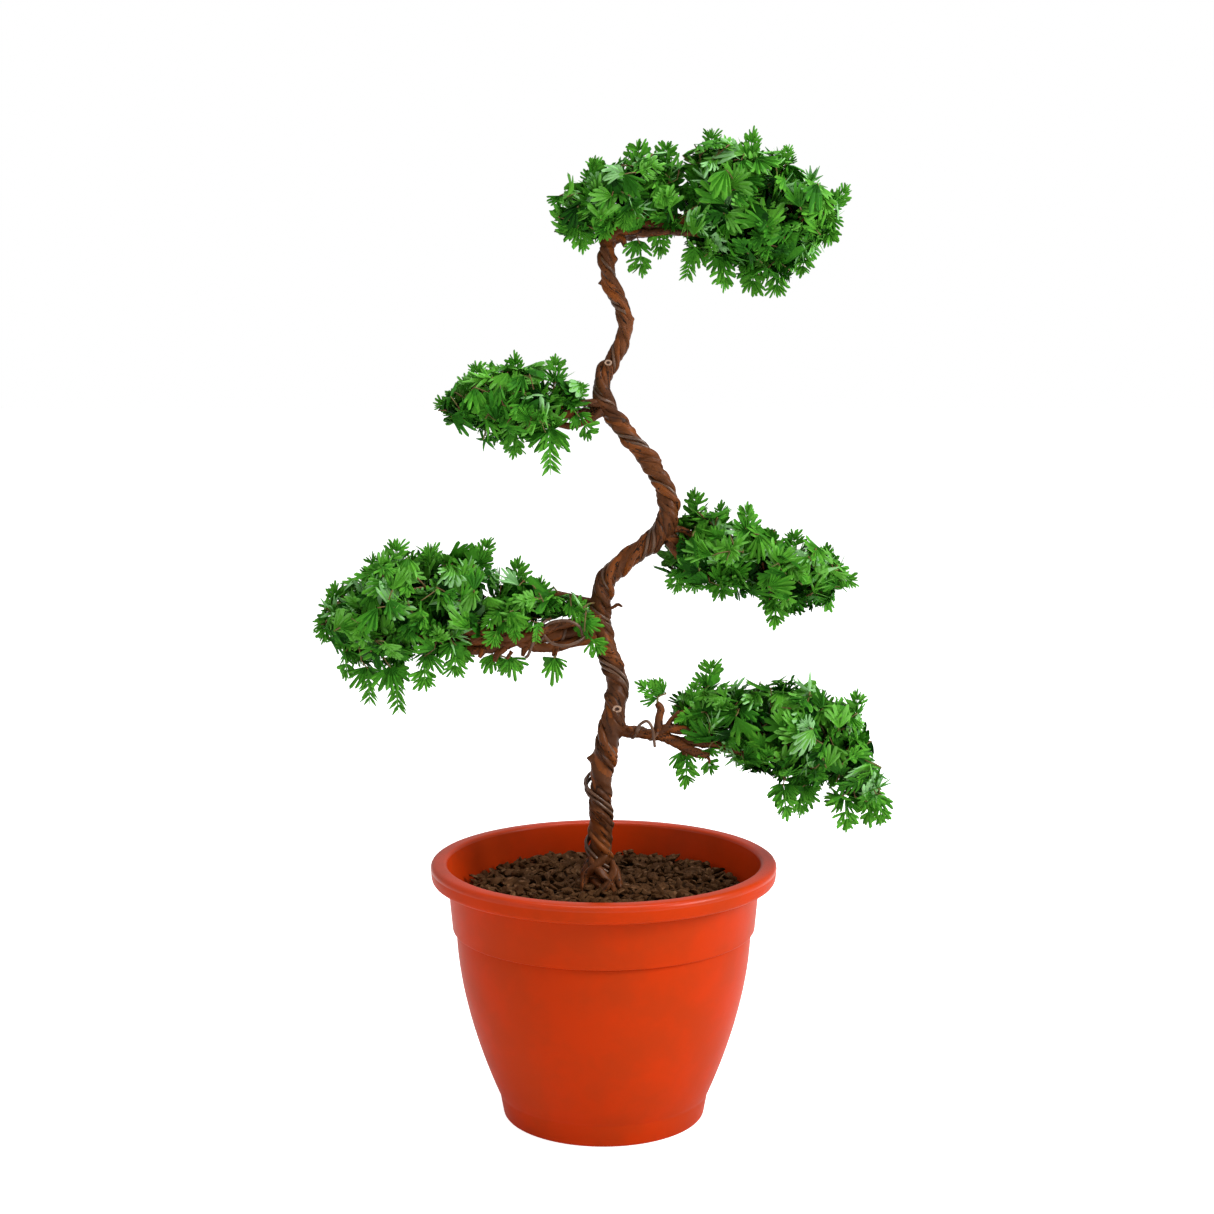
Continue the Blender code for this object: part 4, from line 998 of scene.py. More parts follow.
def grain_places(draw, top, size, edge):
    """Where granules lie: in uneven rows with some on top of others, and in a ring at the trunk's foot."""
    trunk_x = TRUNK_KNOTS[0][0] * MM
    spacing = size * GRAIN_SPACING
    row_spacing = spacing * ROW_SPACING
    scatter = (-GRAIN_SCATTER, GRAIN_SCATTER)
    rows = int(edge / row_spacing) + 1
    grains = []
    for row in range(-rows, rows + 1):
        for column in range(-rows, rows + 1):
            x = (column + 0.5 * (row % 2)) * spacing + draw.uniform(*scatter) * spacing
            y = row * row_spacing + draw.uniform(*scatter) * spacing
            outside = math.hypot(x, y) > edge - size * EDGE_ROOM
            if outside or math.hypot(x - trunk_x, y) < TRUNK_ROOM * MM:
                continue
            height = top.height(x, y)
            grains.append((x, y, height + draw.uniform(*GRAIN_LIFT) * size))
            beside = x + spacing * 0.5
            if draw.random() < UPPER_GRAINS and math.hypot(beside, y) < edge - size * 0.5:
                grains.append((beside, y, height + draw.uniform(*UPPER_LIFT) * size))
    for number in range(FOOT_GRAINS):
        turn = math.tau * number / FOOT_GRAINS + draw.uniform(-0.2, 0.2)
        x = trunk_x + math.cos(turn) * FOOT_GRAINS_RADIUS * MM
        y = math.sin(turn) * FOOT_GRAINS_RADIUS * MM
        grains.append((x, y, top.height(x, y) + draw.uniform(*FOOT_LIFT) * size))
    return grains


class BONSAI_OT_soil(Operator):
    """Fills the pot's mouth with loose dark granules over a much darker bed, painted shade for the gaps"""

    bl_idname = "bonsai.soil"
    bl_label = "Soil granules"

    def execute(self, context):
        settings = context.scene.bonsai.soil
        draw = random.Random(31)
        colours = tuple(settings.colour), tuple(settings.patch_colour)
        look = Finish(*colours, *GRIT_SURFACE)
        # Painted highlight: the drier grit's colour, lighter still, for one ridge of each chip
        lit = look._replace(colour=look.patch, patch=scaled(look.patch, 1.6), specular=0.12)
        # Painted shade: the bed is a much darker grit, so the gaps between the granules look shaded
        dark = look._replace(colour=scaled(look.colour, 0.35), patch=look.colour)
        shapes = chip_shapes(draw)
        top = SoilTop()
        size = settings.grain_size
        edge = (body_radius(BAND_FOOT_HEIGHT) - WALL + 0.9) * MM
        chips = []
        for place in grain_places(draw, top, size, edge):
            way = Vector((draw.gauss(0, GRAIN_TILT), draw.gauss(0, GRAIN_TILT), 1)).normalized()
            turn = turn_towards(way) @ rotation(2, draw.uniform(0, math.tau))
            points, faces, tones = draw.choice(shapes)
            chip = points * (size * draw.uniform(*GRAIN_SIZES))
            chips.append((chip @ turn.T + np.array(place), faces, tones))
        materials = [mottled_material("moist_grit", look), mottled_material("grit_edge", lit)]
        granules = new_piece("soil_granules", joined(chips), materials)
        sharpened(granules, 36)
        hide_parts("soil")
        outline = [(0, BED_UNDERSIDE * MM), (edge, BED_UNDERSIDE * MM)]
        outline += [(radius, BED_TOP * MM) for radius in np.linspace(edge, 0, 26)]
        points, faces = turned(np.array(outline), 96)
        points[:, 2] += [top.height(x, y) for x, y, _ in points]
        bed = new_piece("soil_bed", joined([(points, faces)]), [mottled_material("deep_grit", dark)])
        return {"FINISHED"}


# Trunk, boughs and wire


def root_spread(height):
    """How far the root lobes stand out at a height in metres, as a share of the trunk's radius."""
    rise = height / MM - TRUNK_KNOTS[0][2]
    return ROOT_LOBE_DEPTH * np.clip(1 - rise / ROOT_LOBE_HEIGHT, 0, 1)


class Bark:
    """The relief of a limb's bark: strands twisted like a rope, with furrows, fibres, lumps and flakes."""

    def __init__(self, places, radii, walked, sides, relief, seed, twist, strands=STRANDS):
        self.wound = ring_angles(sides)[None] + twist * walked[:, None] / MM
        self.length = np.repeat(walked[:, None] / MM, sides, axis=1)
        self.seed = seed
        self.heights = places[:, 2] / MM
        sway = STRAND_SWAY * self.pattern(1.0, 19, 2, 0)
        self.across = (strands * self.wound / math.tau + sway) % 1
        drop = np.clip(self.across / LAP, 0, 1)
        strand = drop * (1 - 0.85 * np.clip((self.across - LAP) / (1 - LAP), 0, 1) ** 1.4)
        creases = 1 - 2.2 * np.abs(self.pattern(1.5, 17, 1, 5))
        lumps = self.pattern(0.8, 8, 2, 9)
        flakes = np.clip(8 * (self.pattern(1.6, 6.5, 1, 14) - 0.3), 0, 1)
        forms = (strand - STRAND_MIDDLE, creases, lumps, flakes)
        raised = sum(share * form for share, form in zip(RELIEF_SHARES, forms))
        self.reach = radii[:, None] + relief * raised

    def pattern(self, around, along, octaves, offset):
        """Noise that runs round and along the limb with its twist."""
        wound = self.wound
        points = np.stack([np.cos(wound) * around, np.sin(wound) * around, self.length / along], axis=2)
        return rough(points.reshape(-1, 3), 1.0, octaves, self.seed + offset).reshape(wound.shape)

    def tones(self):
        """For each face 0 for brown bark, 1 for the orange bark on a strand's flank, 2 for painted shade
        where a strand drops.
        """
        patches = self.pattern(0.9, 17, 2, 21)
        flank = (self.across > ORANGE_FLANK[0]) & (self.across < ORANGE_FLANK[1])
        less = 0.2 * np.clip((260 - self.heights) / 80, 0, 1)[:, None]
        orange = patches > np.where(flank, 0.08, 0.3) + less
        # Painted shade: faces at the drop from one strand to the next take the near-black colour
        shaded_crease = (self.across < LAP * 0.9) | (self.across > 0.975)
        return np.where(shaded_crease, 2, orange.astype(int))[:-1].ravel()


def bark_tube(bark, grid):
    """Points, faces and tones of a limb whose corners are a grid over its bark."""
    points, faces = closed_tube(grid)
    tones = plain_tones(faces)
    tones[: len(faces[0])] = bark.tones()
    return points, faces, tones


def bark_limb(places, radii, walked, *bark_values):
    """A limb with bark all over."""
    bark = Bark(places, radii, walked, *bark_values)
    return bark_tube(bark, swept(places, bark.reach))


def strap(trunk, left, right, radius, tone, settings, seed):
    """A strand of bark that crosses the trunk's front and dips into it behind its left and right edge."""
    places, radii = trunk
    side, depth = frames_along(places)
    length = math.hypot(left - right, 1.5 * math.pi * 5) * MM
    share = np.linspace(-1, 1, round(length * 1.4 / settings.ring_spacing))
    turns = -0.36 * share + 0.02 * np.sin(5 * share + seed)
    heights = (left + right) / 2 - (left - right) * 0.72 * share
    index = np.arange(len(places))
    marks = np.interp(heights * MM, places[:, 2], index)
    centre, side, depth, around = (between(marks, index, values) for values in (places, side, depth, radii))
    angles = (math.tau * (FRONT - turns))[:, None]
    thick = radius * MM * (1 - 0.5 * np.abs(share) ** 3) * (1 + 0.12 * np.sin(7 * share + 2 * seed))
    reach = around + (0.2 - 1.8 * np.abs(share) ** 7)[:, None] * radius * MM
    path = centre + (side * np.cos(angles) + depth * np.sin(angles)) * reach
    relief = settings.relief * STRAP_RELIEF
    points, faces, tones = bark_limb(path, thick, walked_along(path), 16, relief, seed, 0.08, 1)
    return points, faces, np.where(tones < 2, tone, tones)


def turns_wound(heights, lift):
    """Turns that a strand of the trunk's wire has made by heights in millimetres."""
    marks = [height + lift for height, _ in TRUNK_WINDING]
    return np.interp(heights, marks, [count for _, count in TRUNK_WINDING])


def wire_grip(grid):
    """How far the bark bulges out between the turns of the wire and is pinched under it."""
    turn = np.linspace(0, 1, grid.shape[1], endpoint=False)[None] - FRONT
    heights = grid[:, :, 2].mean(axis=1) / MM
    bulge = 1.0
    for lift in (0, STRAND_SPACING):
        phase = turn + turns_wound(heights, lift)[:, None]
        off = np.abs((phase + 0.5) % 1 - 0.5)
        bulge = np.minimum(bulge, 1 - np.exp(-((off / GRIP_WIDTH) ** 2)))
    held = (heights > TRUNK_WINDING[0][0]) & (heights < TRUNK_WINDING[-1][0])
    return (bulge - 0.5) * GRIP_DEPTH * MM * held[:, None]


def swell(grid, centre, push, spread):
    """Pushes a grid's corners a way, less the further they lie from a centre."""
    away = np.linalg.norm(grid - centre, axis=2)
    grid += push * np.exp(-((away / spread) ** 2))[:, :, None]


def bark_materials(settings, name, stretch):
    """Outer bark, the orange bark under it and the painted shade of the creases where strands drop."""
    outer, inner = tuple(settings.colour), tuple(settings.inner_colour)
    patch, dark = tuple(settings.patch_colour), tuple(settings.furrow_colour)
    pairs = {"outer_": (outer, patch), "inner_": (inner, outer), "furrow_": (dark, outer)}
    found = []
    for kind, colours in pairs.items():
        look = Finish(*colours, *BARK_SURFACE)
        look = look._replace(patch_scale=BARK_PATCH_SCALES[kind], stretch=stretch)
        found.append(mottled_material(kind + name, look))
    return found


class BONSAI_OT_trunk(Operator):
    """Makes the trunk's bark, with its root flare and the swellings where boughs leave"""

    bl_idname = "bonsai.trunk"
    bl_label = "Trunk"

    def execute(self, context):
        settings = context.scene.bonsai.limbs
        spacing, relief = settings.ring_spacing, settings.relief
        places, radii, walked = even_path(TRUNK_KNOTS, spacing)
        places = np.vstack([places[0] - np.array((0, 0, TRUNK_FOOT * MM)), places])
        radii = np.concatenate([[radii[0] * 1.05], radii])
        walked = np.concatenate([[-TRUNK_FOOT * MM], walked])
        bark = Bark(places, radii, walked, settings.sides, relief, 3.1, settings.twist)
        reach = bark.reach
        lobes = np.cos(ROOT_LOBES * (ring_angles(settings.sides)[None] + 0.12 * walked[:, None] / MM))
        reach *= 1 + root_spread(places[:, 2])[:, None] * (0.35 + lobes)
        reach += wire_grip(swept(places, reach))
        grid = swept(places, reach)
        for knots in BOUGHS.values():
            start, towards = make_array(knots[:2])[:, :3]
            heading = (towards - start) / np.linalg.norm(towards - start)
            centre = start + heading * COLLAR_REACH * MM
            swell(grid, centre, heading * COLLAR_PUSH * MM, COLLAR_SPREAD * MM)
        for place, push, spread in TRUNK_KNOBS:
            swell(grid, make_array(place), make_array(push), spread * MM)
        limbs = [bark_tube(bark, grid)]
        for number, knots in enumerate(ROOT_STRANDS):
            path = even_path(knots, spacing)
            limbs.append(bark_limb(*path, 20, relief * ROOT_RELIEF, 40 + number, 0.1, 2))
        for number, (left, right, radius, tone) in enumerate(STRAPS):
            limbs.append(strap((places, radii), left, right, radius, tone, settings, 60 + 1.7 * number))
        trunk = new_piece("trunk_bark", joined(limbs), bark_materials(settings, "bark", (1, 1, 0.55)))
        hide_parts("trunk")
        for number, (place, facing, size) in enumerate(PRUNING_SCARS, 1):
            self.scar("pruning_scar_%d" % number, grid - make_array(place), place, facing, size)
        return {"FINISHED"}

    def scar(self, name, around, place, facing, size):
        """A healed cut: a rolled pale rim round a dark heart, seated on the bark behind its place."""
        facing = Vector(facing).normalized()
        way = np.array(facing)
        beside = around - (around @ way)[:, :, None] * way
        near = np.linalg.norm(beside, axis=2) < 1.2 * MM
        front = (around @ way)[near].max()
        points, faces = turned(np.array(SCAR_OUTLINE) * size * MM, 28)
        points = points * np.array(SCAR_STRETCH)
        points = points * (1 + SCAR_ROUGHNESS * rough(points, 1.1 * MM, 2, seed=2.2)[:, None])
        points = points @ turn_towards(facing).T + make_array(place) + way * (front + SCAR_LIFT * MM)
        heart = len(faces[0]) * 5 // (len(SCAR_OUTLINE) - 3)
        tones = plain_tones(faces)
        tones[heart : len(faces[0])] = 1
        tones[len(faces[0]) + len(faces[1]) :] = 1
        materials = [mottled_material("scar_rim", SCAR_RIM), mottled_material("scar_heart", SCAR_HEART)]
        piece = new_piece(name, (points, faces, tones), materials)


class BONSAI_OT_boughs(Operator):
    """Makes the bark of each bough, from inside the trunk to where its foliage starts"""

    bl_idname = "bonsai.boughs"
    bl_label = "Boughs"

    def execute(self, context):
        settings = context.scene.bonsai.limbs
        spacing, relief = settings.ring_spacing, settings.relief * BOUGH_RELIEF
        materials = bark_materials(settings, "bough_bark", (0.55, 1, 1))
        for number, (name, knots) in enumerate(BOUGHS.items()):
            seed = 11 + 4.7 * number
            limbs = [bark_limb(*even_path(knots, spacing), settings.sides // 2, relief, seed, 0.16, 2)]
            for side_knots in SIDE_LIMBS[name]:
                seed += 1.9
                path = even_path(side_knots, spacing)
                limbs.append(bark_limb(*path, 20, relief * SIDE_LIMB_RELIEF, seed, 0.2, 2))
            bough = new_piece(name + "_bark", joined(limbs), materials)
            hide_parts(name)
        return {"FINISHED"}


def winding(places, radii, turns_at, first, last, radius, slack=None, steps=24):
    """A wire's path round a limb: turns_at gives the turns wound at shares of the limb's points."""
    count = round(abs(turns_at(last) - turns_at(first)) * steps)
    shares = np.linspace(first, last, count + 1)
    marks = shares * (len(places) - 1)
    index = np.arange(len(places))
    centre, side, depth = (between(marks, index, values) for values in (places, *frames_along(places)))
    angles = math.tau * (FRONT - turns_at(shares))
    reach = np.interp(marks, index, radii) + radius - WIRE_SUNK * MM
    reach += WIRE_WAVER * MM * rough(centre, WAVER_LENGTH * MM, 2, seed=4.0)
    if slack is not None:
        reach += slack(centre, angles)
    out = side * np.cos(angles)[:, None] + depth * np.sin(angles)[:, None]
    return centre + out * reach[:, None]


def trunk_slack(centre, angles):
    """How far loose turns of the trunk's wire stand off the bark."""
    reach = 0
    for height, off, spread, side in SLACK_LOOPS:
        near = np.exp(-(((centre[:, 2] / MM - height) / spread) ** 2))
        reach = reach + off * MM * near * np.clip(side * np.cos(angles), 0, 1)
    return reach


def wire_tube(path, radius):
    """A round strand along a path."""
    reach = radius * (1 + 0.1 * rough(path, 3 * MM, 2, seed=2.0))
    return closed_tube(swept(path, np.repeat(reach[:, None], 10, axis=1)))


def wire_piece(node, tubes, material):
    """The round wire in a packed wire's place."""
    wire = new_piece(node + "_round", joined(tubes), [material])
    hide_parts(node)


class BONSAI_OT_wire(Operator):
    """Winds the two strands round the trunk and one round each wired bough"""

    bl_idname = "bonsai.wire"
    bl_label = "Training wire"

    def execute(self, context):
        settings = context.scene.bonsai.wire
        radius = settings.thickness / 2
        look = Finish(tuple(settings.colour), WIRE_PATCHES, *WIRE_SURFACE)
        material = mottled_material("dull_copper_wire", look)
        places, radii = smooth_path(TRUNK_KNOTS, 12)
        radii = radii * (1 + root_spread(places[:, 2]))
        index = np.arange(len(places))
        for node, lift in (("trunk_wire_lower_strand", 0), ("trunk_wire_upper_strand", STRAND_SPACING)):

            def trunk_turns(share, lift=lift):
                heights = np.interp(share * (len(places) - 1), index, places[:, 2])
                return turns_wound(heights / MM, lift)

            ends = [(TRUNK_WINDING[end][0] + lift) * MM for end in (0, -1)]
            first, last = np.interp(ends, places[:, 2], index) / (len(places) - 1)
            path = winding(places, radii, trunk_turns, first, last, radius, trunk_slack)
            wire_piece(node, [wire_tube(path, radius)], material)
        thin = radius * BOUGH_WIRE_SHARE
        for bough, (turns, first, last) in BOUGH_WINDING.items():

            def bough_turns(share, turns=turns, first=first, last=last):
                return turns * (share - first) / (last - first)

            paths = [winding(*smooth_path(BOUGHS[bough], 12), bough_turns, first, last, thin)]
            for bearer, bends in LOOSE_WIRES:
                if bearer == bough:
                    paths.append(smooth_path([(*bend, 1) for bend in bends], 8)[0])
            wire_piece(bough + "_wire", [wire_tube(path, thin) for path in paths], material)
        return {"FINISHED"}


# Foliage


def blade(length, width, curl):
    """A closed needle from the origin along +X, as its points, quads and triangles."""
    points = []
    for share, wide in NEEDLE_PROFILE:
        half = width * wide / 2
        rise = curl * share**2 * length
        points += [(share * length, half, rise), (share * length, 0, rise + 0.34 * half)]
        points.append((share * length, -half, rise))
    quads = []
    for low in range(0, len(points) - 3, 3):
        quads += [(low, low + 3, low + 4, low + 1), (low + 1, low + 4, low + 5, low + 2)]
        quads.append((low + 2, low + 5, low + 3, low))
    last = len(points) - 3
    return np.array(points), np.array(quads), np.array(((0, 1, 2), (last + 2, last + 1, last)))


def aimed(shape, base, yaw, pitch, around=0.0):
    """A shape turned to a yaw in the spray's plane, a pitch out of it and round its shoot, on its base."""
    turn = rotation(0, around) @ rotation(2, yaw) @ rotation(1, pitch)
    return shape[0] @ turn.T + np.array(base), *shape[1:]


class Spray:
    """Points and faces of one spray, and for each face how much paler it is than the spray: painted shade
    at its foot, underneath and on one side of each tooth, and paler tips, partly young growth and partly
    painted light.
    """

    def __init__(self):
        self.points = []
        self.faces = {4: [], 3: []}
        self.paler = {4: [], 3: []}

    def add_point(self, place):
        self.points.append(tuple(place))
        return len(self.points) - 1

    def add_face(self, paler, *corners):
        self.faces[len(corners)].append(corners)
        self.paler[len(corners)].append(paler)

    def add_shape(self, shape, *paler):
        """Points, quads and triangles, with how much paler the quads and the triangles are."""
        first = len(self.points)
        self.points += [tuple(place) for place in shape[0]]
        for faces, shades in zip(shape[1:], paler):
            for corners, shade in zip(faces + first, shades):
                self.add_face(shade, *corners)

    def add_blade(self, shape, paler):
        # Painted shade on the needle's foot and first stretch, and its tip paler as painted light
        lower, upper = [paler - 0.6] * 3, [paler + 0.4] * (len(shape[1]) - 3)
        self.add_shape(shape, lower + upper, (paler - 0.6, paler + 0.6))

    def add_part(self, part, base, size, yaw, pitch):
        """Another spray, turned and scaled to stand on a base."""
        points, quads, triangles, *paler = part.arrays()
        self.add_shape(aimed((points * size, quads, triangles), base, yaw, pitch), *paler)

    def arrays(self):
        """Points, quads, triangles, and how much paler the quads and the triangles are."""
        faces, paler = self.faces, self.paler
        return tuple(np.array(part) for part in (self.points, faces[4], faces[3], paler[4], paler[3]))


def cut_fan(draw, count, spread):
    """A webbed fan of blunt teeth, cut more deeply between its lobes, each of which bends its own way."""
    spray = Spray()
    step = math.radians(spread) / (2 * count)
    cup = draw.uniform(-0.25, 0.4)
    curl = draw.uniform(-0.32, 0.2)
    lean = draw.uniform(-0.25, 0.25)
    twist = draw.uniform(-0.3, 0.3)
    cuts = set()
    lobe_of = []
    while len(lobe_of) < count:
        lobe_of += [len(cuts)] * draw.choice((1, 2, 2, 3))
        cuts.add(2 * len(lobe_of))
    pitches, swings, lengths = (
        [draw.uniform(low, high) for _ in cuts] for low, high in ((-0.22, 0.24), (-0.14, 0.14), (0.84, 1.06))
    )
    cuts |= {0, 2 * count}

    def put(column, share, rise=0.0):
        lobe = lobe_of[min(count - 1, max(0, int(column / 2)))]
        cut = column in cuts
        across = column / count - 1
        out = share * (1 - 0.36 * abs(across + lean) ** 1.4) * (1 if cut else lengths[lobe])
        angle = (column - count) * step + (0 if cut else swings[lobe] * share**2)
        height = rise + curl * out**2 + cup * across**2 * out + twist * math.sin(angle) * out**2
        height += 0 if cut else pitches[lobe] * share**2
        return spray.add_point((out * math.cos(angle), out * math.sin(angle), height))

    foot = spray.add_point((0, 0, 0))
    web = draw.uniform(0.3, 0.36)
    inner = [put(column, web, 0.035 if column % 2 else -0.01) for column in range(2 * count + 1)]
    under = [inner[0], *(put(column, web, -0.055) for column in range(2, 2 * count, 2)), inner[-1]]
    outer = []
    for column in range(2 * count + 1):
        if column % 2:
            outer.append(put(column, 0.78, 0.035))
        elif column in cuts:
            outer.append(put(column, draw.uniform(0.36, 0.5), -0.01))
        else:
            outer.append(put(column, draw.uniform(0.58, 0.74), -0.005))
    for tooth in range(count):
        left, rib, right = 2 * tooth, 2 * tooth + 1, 2 * tooth + 2
        reach = draw.uniform(0.92, 1.05)
        bend = draw.uniform(-0.05, 0.04)
        side_left = put(rib - 0.56, reach * 0.91, bend * 0.5)
        tip = put(rib + draw.uniform(-0.2, 0.2), reach, bend)
        side_right = put(rib + 0.56, reach * 0.91, bend * 0.5)
        # Painted light and shade: darker at the foot, underneath and on one side of each tooth, paler towards
        # the tips, partly young growth and partly painted light
        spray.add_face(-0.8, foot, inner[left], inner[rib])
        spray.add_face(-0.55, foot, inner[rib], inner[right])
        spray.add_face(-0.25, inner[left], outer[left], outer[rib], inner[rib])
        spray.add_face(0.1, inner[rib], outer[rib], outer[right], inner[right])
        spray.add_face(0.35, outer[left], side_left, tip, outer[rib])
        spray.add_face(0.7, outer[rib], tip, side_right, outer[right])
        spray.add_face(-0.6, foot, under[tooth + 1], under[tooth])
        spray.add_face(-0.5, under[tooth], under[tooth + 1], outer[right], outer[left])
        spray.add_face(-0.3, outer[right], side_right, side_left, outer[left])
        spray.add_face(0, side_right, tip, side_left)
    return spray


def fan(draw):
    """A fan of four to seven blunt teeth."""
    return cut_fan(draw, draw.choice((4, 5, 5, 6, 6, 7)), draw.uniform(66, 118))


def plain_fan(draw):
    """A fan for the inside of a mass, with fewer teeth."""
    return cut_fan(draw, draw.choice((3, 4)), draw.uniform(66, 110))


def frond(draw):
    """A longer shoot with small fans in pairs along its rib and one at its end."""
    spray = Spray()
    bend = draw.uniform(-0.2, 0.12)
    spray.add_blade(blade(0.72, 0.075, bend), -0.3)
    shares = (0.12, 0.34, 0.54)[draw.choice((0, 0, 1)) :]
    for number, share in enumerate(shares):
        for side in (-1, 1):
            lobe = cut_fan(draw, draw.choice((2, 3)), draw.uniform(46, 66))
            length = draw.uniform(0.5, 0.6) - 0.06 * number
            yaw = side * math.radians(draw.uniform(34, 50))
            spray.add_part(lobe, (share, 0, bend * share**2), length, yaw, draw.uniform(-0.25, 0.3))
    tip = cut_fan(draw, draw.choice((3, 4)), draw.uniform(50, 72))
    spray.add_part(tip, (0.56, 0, bend * 0.3), 0.46, draw.uniform(-0.15, 0.15), draw.uniform(-0.2, 0.2))
    return spray


def tuft(draw):
    """A star of narrow needles round the end of a shoot."""
    spray = Spray()
    count = draw.choice((10, 11, 12))
    for number in range(count):
        share = (number + 0.5) / count
        pitch = math.radians(16 + 58 * share + draw.uniform(-7, 7))
        length = (0.66 - 0.1 * share) * draw.uniform(0.85, 1.1)
        shape = blade(length, draw.uniform(0.09, 0.13), 0.1)
        spray.add_blade(aimed(shape, (0.34 * (1 - share), 0, 0), 0, pitch, GOLDEN_ANGLE * number), 0.7)
    return spray


def fern(draw):
    """A longer shoot with narrow needles in pairs along both sides."""
    spray = Spray()
    spray.add_blade(blade(1.0, 0.06, 0.05), 0)
    pairs = draw.choice((6, 7))
    for number in range(pairs):
        share = 0.06 + 0.72 * number / (pairs - 1)
        for side in (-1, 1):
            length = draw.uniform(0.34, 0.42) * (1.12 - 0.4 * share)
            shape = blade(length, draw.uniform(0.08, 0.1), 0.08)
            yaw = math.radians(side * draw.uniform(34, 52))
            spray.add_blade(aimed(shape, (share, 0, 0), yaw, math.radians(draw.uniform(-6, 18))), 0)
    return spray


SPRAY_KINDS = {"fan": fan, "plain_fan": plain_fan, "frond": frond, "tuft": tuft, "fern": fern}


def needle_materials(brightness):
    """A material for each tone of green."""
    found = []
    for name, green in TONES:
        shown = scaled(green, brightness)
        look = Finish(shown, scaled(shown, 0.72), *NEEDLE_SURFACE)
        found.append(mottled_material(name, look))
    return found


class Pad:
    """The room of one mass: an upright oval at each x, from its outline and its depth."""

    def __init__(self, mass):
        self.x, self.low, self.high = make_array(mass.outline).T
        self.depth = mass.depth * MM
        self.tallest = ((self.high - self.low) / 2).max()

    def middle_and_halves(self, x):
        low, high = np.interp(x, self.x, self.low), np.interp(x, self.x, self.high)
        half_height = (high - low) / 2
        return (low + high) / 2, half_height, self.depth * np.sqrt(half_height / self.tallest)

    def share(self, points):
        """How far out points lie in their ovals: 0 on the middle line and 1 on the skin."""
        middle, half_height, half_depth = self.middle_and_halves(points[:, 0])
        return np.hypot((points[:, 2] - middle) / half_height, points[:, 1] / half_depth)

    def holds(self, point):
        return self.x[0] < point[0] < self.x[-1] and self.share(point[None])[0] < HELD_SHARE

    def outward(self, points):
        """Unit vectors out of the skin, and how deep under it each point lies."""
        share = self.share(points)
        slopes = np.stack([(self.share(points + step) - share) / MM for step in np.eye(3) * MM], axis=1)
        steepness = np.linalg.norm(slopes, axis=1) + 1e-6
        return slopes / steepness[:, None], (1 - share) / steepness

    def places(self, draw, spacing, shallowest, deepest):
        """Places an even spacing apart whose depth under the lumpy skin lies in a range."""
        seed = np.random.default_rng(draw.randrange(1 << 30))
        lowest = np.array((self.x[0], -self.depth, self.low.min()))
        highest = np.array((self.x[-1], self.depth, self.high.max()))
        count = int(TRIES_PER_PLACE * np.prod(highest - lowest) / spacing**3)
        tried = seed.uniform(lowest, highest, (min(count, MOST_TRIES), 3))
        tried = tried[self.share(tried) < 1]
        ways, depths = self.outward(tried)
        from_ends = np.stack([tried[:, 0] - self.x[0], self.x[-1] - tried[:, 0]], axis=1)
        depths = np.minimum(depths, from_ends.min(axis=1) + END_DEPTH * MM)
        near_ends = np.exp(-from_ends / (END_REACH * MM))
        ways[:, 0] += near_ends[:, 1] - near_ends[:, 0]
        ways /= np.linalg.norm(ways, axis=1)[:, None]
        inside = (depths > shallowest) & (depths < deepest + (LUMP_DEPTH + SIDE_LUMP_DEPTH) * MM)
        tried, ways, depths = tried[inside], ways[inside], depths[inside]
        lumps = (LUMP_DEPTH + SIDE_LUMP_DEPTH * np.abs(ways[:, 1]) ** 1.5) * MM
        lumps *= np.clip(0.5 + 0.9 * rough(tried, LUMP_SIZE * MM, 1, seed=self.x[0]), 0, 1)
        inside = (depths - lumps > shallowest) & (depths - lumps < deepest)
        tried, ways = tried[inside], ways[inside]
        chosen = []
        for number, place in enumerate(tried):
            if not chosen or np.square(tried[chosen] - place).sum(axis=1).min() >= spacing**2:
                chosen.append(number)
        return tried[chosen], ways[chosen]


class Roots:
    """Growing points along stems and twigs, where finer ones leave."""

    def __init__(self):
        self.places = np.zeros((0, 3))
        self.headings = np.zeros((0, 3))
        self.radii = np.zeros(0)

    def add(self, path, radii):
        steps = np.diff(path, axis=0)
        walked = walked_along(path)
        marks = np.arange(ROOT_SPACING * MM * 0.5, walked[-1], ROOT_SPACING * MM)
        steps = (steps / np.linalg.norm(steps, axis=1)[:, None])[np.searchsorted(walked[1:-1], marks)]
        self.places = np.vstack([self.places, between(marks, walked, path)])
        self.headings = np.vstack([self.headings, steps])
        self.radii = np.concatenate([self.radii, np.interp(marks, walked, radii)])

    def best(self, place):
        """Index of the growing point whose twig to a place is short and leans forwards."""
        ways = place - self.places
        lengths = np.linalg.norm(ways, axis=1) + 1e-9
        lean = (ways * self.headings).sum(axis=1) / lengths
        return int((lengths * (ROOT_COST - LEAN_SAVING * lean)).argmin())

    def distance(self, places):
        return np.array([np.linalg.norm(self.places - place, axis=1).min() for place in places])


def twig_path(start, heading, place, draw):
    """A bowed path from inside its bearer to a place."""
    length = np.linalg.norm(place - start)
    bow = (start + place) / 2 + heading * (TWIG_BOW * length)
    bow[2] += draw.uniform(*TWIG_RISE) * length
    shares = np.array((0, 0.3, 0.65, 1.0))[:, None]
    return start * (1 - shares) ** 2 + bow * 2 * shares * (1 - shares) + place * shares**2


def unit(vector):
    return vector / (np.linalg.norm(vector) + 1e-12)


def limb_room():
    """Places along every limb and its radius, which sprays keep clear of."""
    paths = [smooth_path(TRUNK_KNOTS, 6), *(smooth_path(knots, 8) for knots in BOUGHS.values())]
    return np.vstack([places for places, _ in paths]), np.concatenate([radii for _, radii in paths])


